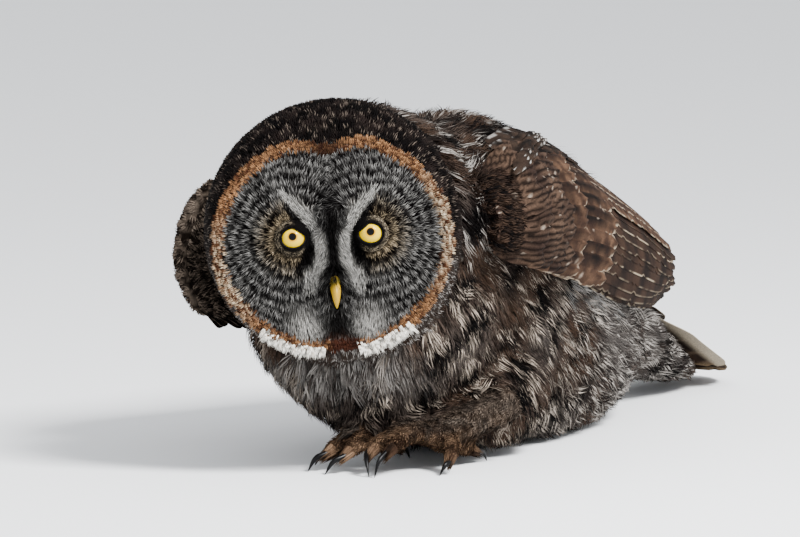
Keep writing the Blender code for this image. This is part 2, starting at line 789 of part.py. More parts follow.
def tube(name, places, radii, finish, grow=0.0, collection=None, sides=9, floor=True):
    """A round limb through places with a radius at each, flattened where it would pass the ground."""
    places = np.array(places, float)
    headings = np.gradient(places, axis=0)
    rings = []
    for i, (place, radius) in enumerate(zip(places, radii)):
        heading = headings[i] / np.linalg.norm(headings[i])
        side = np.cross(heading, (0, 0, 1))
        if np.linalg.norm(side) < 0.1:
            side = np.cross(heading, (0, 1, 0))
        side /= np.linalg.norm(side)
        up = np.cross(side, heading)
        ring = []
        for j in range(sides):
            angle = 2 * math.pi * j / sides
            point = place + (radius + grow) * (side * math.cos(angle) + up * math.sin(angle))
            if floor:
                point[2] = max(point[2], -grow)
            ring.append(point)
        rings.append(ring)
    return loft(name, rings, finish, collection)


def curve_through(places, count):
    """Evenly spread points of a smooth curve through the places."""
    rows = [(i / (len(places) - 1), *place) for i, place in enumerate(places)]
    return [blend_points(rows, i / (count - 1)) for i in range(count)]


def tarsus(name, side, grow=0.0, collection=None):
    """The feathered shank from the coat down to the sole."""
    ankle, sole = np.array(ANKLE[side], float), np.array(SOLE[side], float)
    start = ankle + (ankle - sole) * 0.5
    places = curve_through((start, ankle, sole, sole + (sole - ankle) * 0.18 - np.array((0, 0, 2.0))), 5)
    return tube(name, places, (15, 14, 12.5, ANKLE_RADIUS, 8), FOOT_DOWN, grow, collection, sides=11)


def toe(name, side, which, grow=0.0, collection=None):
    """A feathered toe from the sole over its knuckle to the root of its claw."""
    knuckle, end, _ = TOES[side][which]
    places = curve_through((SOLE[side], knuckle, end), 5)
    radii = np.linspace(TOE_RADIUS, TOE_END_RADIUS, 5)
    radii[-1] = TOE_END_RADIUS * 0.72
    return tube(name, places, radii, FOOT_DOWN, grow, collection)


def claw(name, side, which, grow=0.0, collection=None):
    """A long curved claw that leaves the toe forward and turns down to the ground."""
    knuckle, end, tip = (np.array(place, float) for place in TOES[side][which])
    ahead = end - knuckle
    ahead /= np.linalg.norm(ahead)
    root = end - ahead * 5
    bend = (end + tip) / 2 + np.array((0, 0, 4.5)) + ahead * 3
    places = curve_through((root, end + ahead * 1.5, bend, tip + np.array((0, 0, 0.7))), 6)
    radii = np.array((1.05, 1.0, 0.9, 0.7, 0.46, 0.16)) * CLAW_RADIUS
    return tube(name, places, radii, CLAW_HORN, grow, collection, sides=6)


def thigh(name, side, grow=0.0, collection=None):
    """The bulge of loose feathers over the thigh, flat on the ground."""
    centre, radii = THIGH[side]
    rings = []
    for i in range(1, 7):
        polar = math.pi * i / 7
        ring = []
        for j in range(16):
            angle = 2 * math.pi * j / 16
            x = centre[0] + (radii[0] + grow) * math.sin(polar) * math.cos(angle)
            y = centre[1] - (radii[1] + grow) * math.cos(polar)
            z = centre[2] + (radii[2] + grow) * math.sin(polar) * math.sin(angle)
            ring.append(np.array((x, y, max(z, -grow))))
        rings.append(ring)
    return loft(name, rings, PLUMAGE, collection)


def build_legs(trunk_coat):
    """Both legs whole, with the trunk's coat opened round them."""
    for side in SOLE:
        thigh("thigh_" + side, side)
        done = [thigh("thigh_cutter_" + side, side, GAP, CUTTERS)]
        cut(tarsus("tarsus_" + side, side), done)
        done.append(tarsus("tarsus_cutter_" + side, side, GAP, CUTTERS))
        for which in TOES[side]:
            name = which + "_toe_" + side
            cut(toe(name, side, which), done)
            done.append(toe(name + "_cutter", side, which, GAP, CUTTERS))
        for which in TOES[side]:
            name = which + "_claw_" + side
            cut(claw(name, side, which), done)
        done += [claw(which + "_claw_cutter", side, which, GAP, CUTTERS) for which in TOES[side]]
        cut(trunk_coat, done)


def build_owl():
    """Makes every node, and cuts each one clear of what it meets by the gap."""
    sides = {"left": 1, "right": -1}
    skull = head("head")
    head_cutter = head("head_cutter", GAP, CUTTERS)
    neck_cutter = neck_form("neck_cutter", GAP, CUTTERS)
    trunk_cutter = trunk("trunk_cutter", GAP, CUTTERS)

    body = trunk("torso")
    shape = neck_form("neck_form", 0, CUTTERS)
    modified(body, "BOOLEAN", {"operation": "UNION", "object": shape, "solver": BOOLEAN_SOLVER})
    cut(body, [head_cutter])
    throat = body.copy()
    throat.data = body.data.copy()
    throat.name = throat.data.name = "neck"
    OWL.objects.link(throat)
    distance, heading = NECK_PARTING
    start, heading = on_face(*HEAD_CENTRE), np.array(heading)
    half = 400
    cut(throat, [slab("behind_neck", start + heading * (distance + half - GAP / 2), heading, 2 * half)])
    cut(body, [slab("before_trunk", start + heading * (distance - half + GAP / 2), heading, 2 * half)])
    build_legs(body)

    for side, sign in sides.items():
        ball("eye_" + side, eye_centre(sign), EYE_RADIUS, EYE_YELLOW)
        socket = ball("socket_" + side, eye_centre(sign), EYE_RADIUS + GAP, EYE_YELLOW, CUTTERS)
        lid_ring("eyelids_" + side, sign)
        lid_cutter = lid_ring("lid_cutter_" + side, sign, GAP, CUTTERS)
        cut(skull, [socket, lid_cutter])

    beak = bill_part("bill_upper", UPPER_BILL)
    across, up, out = NOSTRIL
    for sign in sides.values():
        pit = on_face(sign * across, up, out)
        cut(beak, [ball("nostril", pit, NOSTRIL_RADIUS, BILL_HORN, CUTTERS, sides=8, rings=6)])
    upper_cutter = bill_part("upper_cutter", UPPER_BILL, GAP, CUTTERS)
    lower_cutter = bill_part("lower_cutter", LOWER_BILL, GAP, CUTTERS)
    cut(bill_part("bill_lower", LOWER_BILL), [upper_cutter])
    cut(skull, [upper_cutter, lower_cutter])
    join(skull, [ruff_vane(i) for i in range(RUFF_VANES)])

    for side, sign in sides.items():
        wing("wing_" + side, sign, [trunk_cutter, neck_cutter, head_cutter])
    tail("tail", [trunk_cutter])


def stand_on_origin():
    """Moves the whole bird so that the middle of its floor box is the origin."""
    parts = list(OWL.objects)
    corners = np.array([vert.co for obj in parts for vert in obj.data.vertices])
    low, high = corners.min(axis=0), corners.max(axis=0)
    for obj in parts:
        for vert in obj.data.vertices:
            vert.co.x -= (low[0] + high[0]) / 2
            vert.co.y -= (low[1] + high[1]) / 2
            vert.co.z -= low[2]
    return (low + high) / 2


build_owl()
remove(list(CUTTERS.objects))
SHIFT = stand_on_origin()
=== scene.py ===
"""A life-size great grey owl crouched low on pale ground, its face turned to the camera.

The skin lies under the coat. Every feather, lock and filament is thin solid mesh rooted on the skin and
lies along it. Lengths are millimetres in the bird's own layout, with the spine over x = 0, the breast
towards -Y and the ground at z = 0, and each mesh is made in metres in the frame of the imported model.
"""

import math

import bmesh
import bpy
import numpy as np
from mathutils import Matrix, Vector
from mathutils.bvhtree import BVHTree


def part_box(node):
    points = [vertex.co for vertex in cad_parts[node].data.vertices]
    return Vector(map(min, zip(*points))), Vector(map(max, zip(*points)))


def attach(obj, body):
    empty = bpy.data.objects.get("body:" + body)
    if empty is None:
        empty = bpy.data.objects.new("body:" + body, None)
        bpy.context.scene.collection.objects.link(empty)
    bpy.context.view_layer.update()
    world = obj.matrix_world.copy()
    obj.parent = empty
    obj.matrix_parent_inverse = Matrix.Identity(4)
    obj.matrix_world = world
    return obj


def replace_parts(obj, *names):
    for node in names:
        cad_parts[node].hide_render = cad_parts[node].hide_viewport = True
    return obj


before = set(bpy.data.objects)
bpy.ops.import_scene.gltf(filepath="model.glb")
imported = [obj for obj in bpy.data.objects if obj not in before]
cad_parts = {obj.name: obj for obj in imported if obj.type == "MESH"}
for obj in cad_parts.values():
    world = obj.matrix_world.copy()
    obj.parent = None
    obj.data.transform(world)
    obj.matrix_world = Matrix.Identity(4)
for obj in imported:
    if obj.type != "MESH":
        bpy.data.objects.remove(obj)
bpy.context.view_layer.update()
rng = np.random.default_rng(6)

# The layout of the face.
# The disc's middle, the way it looks, and its outline and dish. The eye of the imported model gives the
# step from this layout to the model's own frame.
FACE_CENTRE = np.array((22.5, -76.0, 155.0))
FACE_TURN, FACE_LIFT, FACE_TILT = math.radians(28), math.radians(6), math.radians(3.5)
DISC_HALF_WIDTH, DISC_HALF_HEIGHT, DISC_DEPTH = 79, 72, 9
EYE_SIDEWAYS, EYE_UP, EYE_BACK, EYE_RADIUS = 25.5, 4.6, -10.9, 9.4


def unit(vectors):
    vectors = np.asarray(vectors, float)
    return vectors / np.maximum(np.linalg.norm(vectors, axis=-1, keepdims=True), 1e-9)


def smooth(low, high, value):
    """0 at low, 1 at high, and an S curve between."""
    share = np.clip((value - low) / (high - low), 0.0, 1.0)
    return share * share * (3 - 2 * share)


FACE_OUT = np.array(
    (
        math.sin(FACE_TURN) * math.cos(FACE_LIFT),
        -math.cos(FACE_TURN) * math.cos(FACE_LIFT),
        math.sin(FACE_LIFT),
    )
)
level_side = unit(np.cross((0, 0, 1), FACE_OUT))
level_up = np.cross(FACE_OUT, level_side)
FACE_SIDE = level_side * math.cos(FACE_TILT) + level_up * math.sin(FACE_TILT)
FACE_UP = level_up * math.cos(FACE_TILT) - level_side * math.sin(FACE_TILT)


def on_face(u, v, w):
    """Points given across, up and out of the face."""
    u, v, w = np.broadcast_arrays(np.asarray(u, float), v, w)
    return FACE_CENTRE + u[..., None] * FACE_SIDE + v[..., None] * FACE_UP + w[..., None] * FACE_OUT


def to_face(points):
    """How far points lie across, up and out of the face."""
    away = points - FACE_CENTRE
    return away @ FACE_SIDE, away @ FACE_UP, away @ FACE_OUT


def disc_reach(angle):
    """The disc's radius at an angle about its middle, with a notch above the bill and one below."""
    reach = 1 / np.hypot(np.cos(angle) / DISC_HALF_WIDTH, np.sin(angle) / DISC_HALF_HEIGHT)
    from_top = np.arctan2(np.sin(angle - math.pi / 2), np.cos(angle - math.pi / 2))
    from_foot = np.arctan2(np.sin(angle + math.pi / 2), np.cos(angle + math.pi / 2))
    notch = 0.12 * np.exp(-((from_top / 0.24) ** 2)) + 0.04 * np.exp(-((from_foot / 0.2) ** 2))
    return reach * (1 - notch)


def disc_share(u, v):
    """0 in the middle of the disc and 1 on its rim."""
    return np.hypot(u, v) / disc_reach(np.arctan2(v, u))


def disc_height(u, v):
    """How far the disc stands out of the plane of its rim."""
    share = np.minimum(1.0, disc_share(u, v))
    ridge = 9.5 * np.exp(-((u / 11) ** 2)) * smooth(44, 12, v) * smooth(-58, -30, v)
    muzzle = 6 * np.exp(-((u / 12) ** 2) - ((v + 30) / 14) ** 2)
    return -DISC_DEPTH * (1 - share**3) + ridge + muzzle


def eye_centre(side):
    return on_face(side * EYE_SIDEWAYS, EYE_UP, EYE_BACK)


eye_low, eye_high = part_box("eye_left")
SHIFT = np.array((eye_low + eye_high) / 2) * 1000 - eye_centre(1)
SHIFT[2] = 0.0

# Camera.
# A long lens about six metres away, a little above the bird, as the photograph shows it.
VIEW_TURN, VIEW_RISE, VIEW_DISTANCE, LENS_PIXELS = math.radians(26), math.radians(6), 6000, 9090.9
AIMED_AT = np.array((38.0, 0.0, 0.0))
AIMED_PIXEL = np.array((405 - 400, 467 - 268.5))
view_right = np.array((math.cos(VIEW_TURN), math.sin(VIEW_TURN), 0))
view_back = np.array(
    (
        math.sin(VIEW_TURN) * math.cos(VIEW_RISE),
        -math.cos(VIEW_TURN) * math.cos(VIEW_RISE),
        math.sin(VIEW_RISE),
    )
)
view_up = np.cross(view_back, view_right)
aside, below = AIMED_PIXEL * VIEW_DISTANCE / LENS_PIXELS
eye_point = AIMED_AT + view_back * VIEW_DISTANCE - view_right * aside + view_up * below
camera_data = bpy.data.cameras.new("camera")
camera_data.sensor_width = 36
camera_data.lens = 36 * LENS_PIXELS / 800
camera_data.clip_start, camera_data.clip_end = 0.5, 60
camera = bpy.data.objects.new("camera", camera_data)
bpy.context.scene.collection.objects.link(camera)
turned = Matrix([view_right, view_up, view_back]).transposed().to_4x4()
camera.matrix_world = Matrix.Translation(Vector((eye_point + SHIFT) * 0.001)) @ turned
bpy.context.scene.camera = camera

# Body, wings and tail.
# The bird leans to its right. The wing's base surface runs from the wrist to the tips and from its lower
# to its upper edge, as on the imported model, and the tail's middle line falls to the ground.
ROLL, TAIL_ROLL = math.radians(12), math.radians(2)
ROLL_AXIS = (5, 115)
WING_LOWER = ((0, 110, 2, 119), (0.22, 110, 74, 104), (0.42, 101, 146, 89), (0.68, 83, 250, 71), (1, 45, 405, 60))
WING_PULL = ((0, 132, 2, 148), (0.22, 136, 76, 146), (0.42, 128, 148, 142), (0.68, 104, 255, 121), (1, 62, 419, 90))
WING_UPPER = ((0, 102, 8, 180), (0.22, 90, 90, 188), (0.42, 74, 170, 181), (0.68, 52, 276, 154), (1, 27, 424, 109))
WING_OPEN = np.array(((21, 0, -3), (25, 0, 27), (-3, 0, 32.6)))
TAIL_HEIGHTS = ((300, 119), (360, 90), (400, 71), (440, 52), (475, 35), (505, 21.5), (530, 13), (554, 8.5))


def curve(rows, where):
    """A smooth curve through rows, whose first number is the parameter, at many places along it."""
    rows = np.asarray(rows, float)
    keys = rows[:, 0]
    slopes = np.gradient(rows[:, 1:], keys, axis=0)
    where = np.clip(np.asarray(where, float), keys[0], keys[-1])
    i = np.clip(np.searchsorted(keys, where) - 1, 0, len(keys) - 2)
    span = (keys[i + 1] - keys[i])[..., None]
    a = (where - keys[i])[..., None] / span
    start, end = rows[i, 1:], rows[i + 1, 1:]
    return (
        (2 * a**3 - 3 * a**2 + 1) * start
        + (a**3 - 2 * a**2 + a) * span * slopes[i]
        + (3 * a**2 - 2 * a**3) * end
        + (a**3 - a**2) * span * slopes[i + 1]
    )


def rolled(points):
    """Points of the body, wings or tail once the bird leans to its right."""
    points = np.asarray(points, float)
    turn = TAIL_ROLL + (ROLL - TAIL_ROLL) * (1 - smooth(280, 460, points[..., 1]))
    dx, dz = points[..., 0] - ROLL_AXIS[0], points[..., 2] - ROLL_AXIS[1]
    x = ROLL_AXIS[0] + dx * np.cos(turn) - dz * np.sin(turn)
    z = ROLL_AXIS[1] + dx * np.sin(turn) + dz * np.cos(turn)
    return np.stack([x, points[..., 1], z], axis=-1)


def wing_point(s, t, side):
    """Points of the wing's base surface before the lean."""
    low, pull, high = (curve(rows, s) for rows in (WING_LOWER, WING_PULL, WING_UPPER))
    if side < 0:
        share = (np.clip(1 - s / 0.5, 0, 1) ** 2)[..., None]
        low, pull, high = (row + share * extra for row, extra in zip((low, pull, high), WING_OPEN))
    t = t[..., None]
    points = (1 - t) ** 2 * low + 2 * t * (1 - t) * pull + t * t * high
    return points * (side, 1, 1)


def wing_place(s, t, height, side):
    """Points at a height over the wing's base surface."""
    s, t, height = np.broadcast_arrays(np.asarray(s, float), t, height)
    step = 0.01
    here, there = np.clip(s, step, 1 - step), np.clip(t, step, 1 - step)
    along = wing_point(here + step, there, side) - wing_point(here - step, there, side)
    across = wing_point(here, there + step, side) - wing_point(here, there - step, side)
    normal = unit(np.cross(along, across)) * side
    return rolled(wing_point(s, t, side) + normal * height[..., None])


def tail_place(y, across, height):
    """Points of the tail, by their distance from its midline and their height over its middle feathers."""
    y, across, height = np.broadcast_arrays(np.asarray(y, float), across, height)
    return rolled(np.stack([across, y, curve(TAIL_HEIGHTS, y)[..., 0] + height], axis=-1))


# Making meshes.
# Points in millimetres of the layout become a mesh of the model's frame, with the colour of each point and a bake map,
# where a lock has one small patch.
BAKE_PATCH = 0.003


def srgb(code):
    """The linear colour of a six-figure code."""
    value = np.array([int(code[i : i + 2], 16) / 255 for i in (0, 2, 4)])
    return np.where(value <= 0.04045, value / 12.92, ((value + 0.055) / 1.055) ** 2.4)


def make_piece(name, points, faces, colours, bake, material):
    """A piece from arrays; bake holds one place of the map for each point."""
    faces = np.asarray(faces, np.int32)
    mesh = bpy.data.meshes.new(name)
    mesh.vertices.add(len(points))
    mesh.vertices.foreach_set("co", ((points + SHIFT) * 0.001).astype(np.float32).ravel())
    mesh.loops.add(faces.size)
    mesh.loops.foreach_set("vertex_index", faces.ravel())
    mesh.polygons.add(len(faces))
    mesh.polygons.foreach_set("loop_start", np.arange(0, faces.size, faces.shape[1], dtype=np.int32))
    mesh.update(calc_edges=True)
    shades = mesh.color_attributes.new("Plumage", "FLOAT_COLOR", "POINT")
    shades.data.foreach_set("color", np.hstack([colours, np.ones((len(points), 1))]).astype(np.float32).ravel())
    layer = mesh.uv_layers.new(name="OFBake")
    layer.data.foreach_set("uv", bake[faces.ravel()].astype(np.float32).ravel())
    mesh.shade_smooth()
    mesh.materials.append(material)
    piece = bpy.data.objects.new(name, mesh)
    bpy.context.scene.collection.objects.link(piece)
    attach(piece, "root")
    return piece


def ring_faces(count, sides):
    """Quads between rings of points, as two triangles each, closed by a fan at each end."""
    i, j = np.meshgrid(np.arange(count - 1), np.arange(sides), indexing="ij")
    a, b = i * sides + j, i * sides + (j + 1) % sides
    c, d = b + sides, a + sides
    j = np.arange(sides)
    k = (j + 1) % sides
    first, last, top = count * sides, count * sides + 1, (count - 1) * sides
    return np.concatenate(
        [
            np.stack([a, b, c], -1).reshape(-1, 3),
            np.stack([a, c, d], -1).reshape(-1, 3),
            np.stack([np.full(sides, first), k, j], -1),
            np.stack([np.full(sides, last), top + j, top + k], -1),
        ]
    )


def closed_loft(rings):
    """(points, faces) of a closed solid through rings of points."""
    rings = np.asarray(rings, float)
    ends = np.stack([rings[0].mean(0), rings[-1].mean(0)])
    return np.vstack([rings.reshape(-1, 3), ends]), ring_faces(len(rings), rings.shape[1])


# Feather material.
# The colour comes from each point, with fine uneven streaks; feathers are matt, with a soft sheen.
def plumage_material(name, streak, roughness, gloss, tone=0.5):
    made = bpy.data.materials.new(name)
    made.use_nodes = True
    nodes, links = made.node_tree.nodes, made.node_tree.links
    shader = nodes["Principled BSDF"]
    shader.inputs["Roughness"].default_value = roughness
    shader.inputs["Specular IOR Level"].default_value = gloss
    colour = nodes.new("ShaderNodeVertexColor")
    colour.layer_name = "Plumage"
    place = nodes.new("ShaderNodeTexCoord")
    grain = nodes.new("ShaderNodeTexNoise")
    grain.inputs["Scale"].default_value = 900
    grain.inputs["Detail"].default_value = 3
    spread = nodes.new("ShaderNodeMapRange")
    spread.inputs["From Min"].default_value = 0.3
    spread.inputs["From Max"].default_value = 0.7
    spread.inputs["To Min"].default_value = (1 - streak) * tone
    spread.inputs["To Max"].default_value = (1 + streak) * tone
    tint = nodes.new("ShaderNodeVectorMath")
    tint.operation = "SCALE"
    links.new(place.outputs["Object"], grain.inputs["Vector"])
    links.new(grain.outputs["Fac"], spread.inputs["Value"])
    links.new(colour.outputs["Color"], tint.inputs[0])
    links.new(spread.outputs["Result"], tint.inputs["Scale"])
    links.new(tint.outputs["Vector"], shader.inputs["Base Color"])
    return made


DOWN = plumage_material("soft_feathers", 0.25, 0.9, 0.03)
SKIN = plumage_material("skin_under_the_coat", 0.3, 0.95, 0.0)

# Skin.
# One closed surface under the whole coat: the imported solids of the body, neck, thighs, shanks and toes,
# with the head, the wings' fronts and the rump lofted here, fused by a voxel remesh and sunk by the
# coat's depth, which is least on the face and the feet.
HEAD_RADIUS, HEAD_MIDDLE = 90, (4, 8.5, -45)
VOXEL = 0.0033
COAT_DEPTH = {"body": 6.5, "head": 4.5, "feet": 1.6, "wing": 0.0, "tail": 0.5}


def head_shape():
    """The head from the middle of the disc over its rim and back to the nape."""
    angles = np.linspace(0, 2 * math.pi, 64, endpoint=False)
    rings = []
    for share in (0.05, 0.15, 0.25, 0.35, 0.45, 0.55, 0.65, 0.75, 0.85, 0.93, 0.98):
        u, v = disc_reach(angles) * share * np.cos(angles), disc_reach(angles) * share * np.sin(angles)
        rings.append(on_face(u, v, disc_height(u, v) + 1.5))
    for degrees in (66, 74, 84, 94, 104, 116, 130, 146, 164):
        polar = math.radians(degrees)
        reach, shift = HEAD_RADIUS * math.sin(polar), smooth(60, 82, degrees)
        u = HEAD_MIDDLE[0] * shift + reach * np.cos(angles)
        v = HEAD_MIDDLE[1] * shift + reach * np.sin(angles)
        rings.append(on_face(u, v, HEAD_MIDDLE[2] + HEAD_RADIUS * math.cos(polar)))
    return closed_loft(rings)


WING_TOPS = ((0.012, -5), (0.03, -1), (0.07, 1), (0.13, 1), (0.2, -1.5), (0.27, -4), (0.34, -7), (0.5, -9.5), (0.62, -11))


def wing_flesh(s, t):
    """Heights over the wing's base surface of the outer and inner faces of its thick front."""
    edge = np.sqrt(np.clip(np.minimum(t / 0.16, (1 - t) / 0.16), 0, 1))
    front = 0.2 + 0.8 * np.sqrt(np.minimum(1.0, s / 0.09))
    height = -4 + 8.5 * t + np.interp(s, *np.array(WING_TOPS).T)
    middle = np.minimum(-5.0, height - 2)
    return middle + (height - middle) * front * edge, middle - (12 + middle) * front * edge - 3


def wing_shape(side):
    """The arm and the thick front of the folded wing."""
    columns = np.array((0.02, 0.06, 0.15, 0.3, 0.47, 0.65, 0.82, 0.94, 0.98))
    rings = []
    for s, _ in WING_TOPS:
        outer, inner = (wing_place(s, columns, height, side) for height in wing_flesh(s, columns))
        rings.append(np.vstack([outer, inner[::-1]]))
    return closed_loft(rings)


def tail_shape():
    """The rump and the body of the coverts under the tail."""
    rings = []
    angles = np.linspace(0, 2 * math.pi, 24, endpoint=False)
    stations = ((325, 30, 44, 116), (360, 35, 28, 87), (400, 37, 18, 66), (436, 37, 12, 42), (470, 32, 8, 25), (495, 20, 6, 12))
    for y, half_width, low, high in stations:
        across, rise = np.cos(angles), np.sin(angles)
        reach = (np.abs(across) ** 2.6 + np.abs(rise) ** 2.6) ** (-1 / 2.6)
        middle, half = (high + low) / 2, (high - low) / 2
        ring = rolled(np.stack([half_width * across * reach, np.full(24, y), middle + half * rise * reach], -1))
        rings.append(np.maximum(ring, (-1e9, -1e9, 0.5)))
    return closed_loft(rings)


def packed_shape(name):
    """(points, faces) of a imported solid, its corners merged."""
    shape = bmesh.new()
    shape.from_mesh(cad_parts[name].data)
    bmesh.ops.remove_doubles(shape, verts=shape.verts, dist=1e-6)
    bmesh.ops.triangulate(shape, faces=shape.faces)
    shape.verts.index_update()
    points = np.array([vert.co for vert in shape.verts]) * 1000 - SHIFT
    faces = np.array([[vert.index for vert in face.verts] for face in shape.faces])
    shape.free()
    return points, faces


TOES = ("inner", "middle", "outer", "hind")
FOOT_NODES = ["tarsus_left", "tarsus_right"] + [f"{toe}_toe_{side}" for toe in TOES for side in ("left", "right")]
BODY_NODES = ["torso", "neck", "thigh_left", "thigh_right"]
sources = {
    "body": [packed_shape(name) for name in BODY_NODES],
    "head": [head_shape()],
    "feet": [packed_shape(name) for name in FOOT_NODES],
    "wing": [wing_shape(1), wing_shape(-1)],
    "tail": [tail_shape()],
}


def joined(shapes):
    points, faces, count = [], [], 0
    for some_points, some_faces in shapes:
        points.append(some_points)
        faces.append(some_faces + count)
        count += len(some_points)
    return np.vstack(points), np.vstack(faces)


def tree_of(points, faces):
    return BVHTree.FromPolygons(points.tolist(), faces.tolist())


def nearest(tree, points):
    """(places, normals, triangle numbers, distances) of the nearest places of a surface."""
    found = [tree.find_nearest(point) for point in points.tolist()]
    places = np.array([hit[0] for hit in found])
    normals = np.array([hit[1] for hit in found])
    return places, normals, np.array([hit[2] for hit in found]), np.array([hit[3] for hit in found])


def fused(points, faces):
    """The shapes fused into one surface by the voxel remesh modifier."""
    mesh = bpy.data.meshes.new("fused")
    mesh.from_pydata((points * 0.001).tolist(), [], faces.tolist())
    shape = bpy.data.objects.new("fused", mesh)
    bpy.context.scene.collection.objects.link(shape)
    modifier = shape.modifiers.new("remesh", "REMESH")
    modifier.mode = "VOXEL"
    modifier.voxel_size = VOXEL
    graph = bpy.context.evaluated_depsgraph_get()
    result = bpy.data.meshes.new_from_object(shape.evaluated_get(graph))
    bpy.data.objects.remove(shape)
    return result


def relax(points, edges, rounds, weight=0.5):
    """Points moved towards the mean of their neighbours."""
    count = np.bincount(edges.ravel(), minlength=len(points))[:, None]
    for _ in range(rounds):
        total = np.zeros_like(points)
        np.add.at(total, edges[:, 0], points[edges[:, 1]])
        np.add.at(total, edges[:, 1], points[edges[:, 0]])
        points = points + (total / np.maximum(count, 1) - points) * weight
    return points


kinds = list(sources)
skin_mesh = fused(*joined([shape for shapes in sources.values() for shape in shapes]))
skin_mesh.name = "skin"
skin_points = np.empty(len(skin_mesh.vertices) * 3)
skin_mesh.vertices.foreach_get("co", skin_points)
skin_points = skin_points.reshape(-1, 3) * 1000
skin_normals = np.empty(len(skin_mesh.vertices) * 3)
skin_mesh.vertices.foreach_get("normal", skin_normals)
skin_normals = skin_normals.reshape(-1, 3)
skin_edges = np.empty(len(skin_mesh.edges) * 2, np.int32)
skin_mesh.edges.foreach_get("vertices", skin_edges)
skin_edges = skin_edges.reshape(-1, 2)
away = np.stack([nearest(tree_of(*joined(shapes)), skin_points)[3] for shapes in sources.values()], axis=1)
skin_kind = away.argmin(axis=1)
depth = np.array([COAT_DEPTH[kind] for kind in kinds])[skin_kind]
u, v, w = to_face(skin_points)
on_disc = (w > -14) & (disc_share(u, v) < 1.0)
depth = np.where(on_disc, 3.0, depth)
depth = relax(depth[:, None], skin_edges, 8)[:, 0]
skin_points = relax(skin_points - skin_normals * depth[:, None], skin_edges, 3)
skin_points[:, 2] = np.maximum(skin_points[:, 2], 0.8)
skin_mesh.vertices.foreach_set("co", ((skin_points + SHIFT) * 0.001).astype(np.float32).ravel())
skin_mesh.update()
skin = bpy.data.objects.new("skin", skin_mesh)
bpy.context.scene.collection.objects.link(skin)
bpy.ops.object.select_all(action="DESELECT")
skin.select_set(True)
bpy.context.view_layer.objects.active = skin
bpy.ops.object.mode_set(mode="EDIT")
bpy.ops.mesh.select_all(action="SELECT")
bpy.ops.mesh.quads_convert_to_tris()
bpy.ops.uv.smart_project(angle_limit=math.radians(66), island_margin=0.004)
bpy.ops.object.mode_set(mode="OBJECT")
skin_mesh.uv_layers[0].name = "OFBake"
skin_faces = np.empty(len(skin_mesh.polygons) * 3, np.int32)
skin_mesh.polygons.foreach_get("vertices", skin_faces)
skin_faces = skin_faces.reshape(-1, 3)
skin_uv = np.empty(len(skin_mesh.loops) * 2)
skin_mesh.uv_layers[0].data.foreach_get("uv", skin_uv)
skin_uv = skin_uv.reshape(-1, 3, 2)
skin_tree = tree_of(skin_points, skin_faces)
corners = skin_points[skin_faces]
skin_areas = np.linalg.norm(np.cross(corners[:, 1] - corners[:, 0], corners[:, 2] - corners[:, 0]), axis=1) / 2
print("skin", len(skin_points), "points", round(skin_areas.sum()), "mm2")


def spots(spacing, wanted):
    """Evenly scattered roots on the skin, kept where wanted(points) holds."""
    count = int(skin_areas.sum() / spacing**2 * 3)
    triangle = rng.choice(len(skin_areas), count, p=skin_areas / skin_areas.sum())
    share = rng.random((count, 2))
    share = np.where(share.sum(axis=1, keepdims=True) > 1, 1 - share, share)
    weights = np.column_stack([1 - share.sum(axis=1), share])[..., None]
    points = (skin_points[skin_faces[triangle]] * weights).sum(axis=1)
    places = (skin_uv[triangle] * weights).sum(axis=1)
    _, first = np.unique(np.floor(points / spacing / 1.1).astype(np.int64), axis=0, return_index=True)
    first = first[wanted(points[first], skin_kind[skin_faces[triangle[first], 0]])]
    found = corners[triangle[first]]
    normals = unit(np.cross(found[:, 1] - found[:, 0], found[:, 2] - found[:, 0]))
    return points[first], normals, places[first]


# The lie of the coat.
# On the trunk the feathers run back and down, on the head away from the face, and each lock follows the
# skin under it.
def ripple(points, size, seed):
    """Soft uneven noise of about -1 to 1 whose patches are about size millimetres across."""
    waves = np.random.default_rng(seed)
    total = np.zeros(points.shape[:-1])
    for _ in range(7):
        heading = unit(waves.normal(size=3)) * 2 * math.pi / (size * waves.uniform(1.2, 2.6))
        total += np.sin(points @ heading + waves.uniform(0, 2 * math.pi))
    return total / 2.6


def body_lie(points):
    back = smooth(60, 280, points[:, 1])
    down = 1.0 - 0.72 * back
    return np.stack([np.zeros(len(points)), 0.55 + 0.45 * back, -down], axis=-1)


def foot_lie(points):
    """Forward and down the shanks and toes."""
    return np.stack([np.zeros(len(points)), -np.ones(len(points)), np.full(len(points), -0.5)], axis=-1)


def head_lie(points):
    """Away from the face, turning down over the neck."""
    u, v, w = to_face(points)
    behind = smooth(-40, -120, w)[:, None]
    return (1 - 0.5 * behind) * -FACE_OUT + behind * body_lie(points)


def locks(roots, lie, length, rise, stray=0.22):
    """The middle line of each lock: four places that follow the skin and rise from it."""
    points, normals, _ = roots
    heading = lie + rng.normal(0, stray, lie.shape) * np.linalg.norm(lie, axis=1, keepdims=True)
    places, ups, sides = [], [], []
    here, normal = points, normals
    for share in (0.0, 0.34, 0.67, 1.0):
        if share:
            here, normal, _, _ = nearest(skin_tree, here + heading * (length * 0.333)[:, None])
            normal = unit(normal)
        heading = unit(heading - normal * (heading * normal).sum(axis=1, keepdims=True))
        lifted = -1.0 + (rise + 1.0) * (1 - (1 - share) ** 2)
        places.append(here + normal * np.broadcast_to(lifted, len(here))[:, None])
        ups.append(normal)
        sides.append(np.cross(heading, normal))
    return np.stack(places, 1), np.stack(ups, 1), np.stack(sides, 1)


# Rings of a strand before its tip: how far along and how wide.
SHORT_STRAND = ((0.0, 0.85), (0.5, 0.9))
LONG_STRAND = ((0.0, 0.8), (0.36, 1.0), (0.72, 0.66))


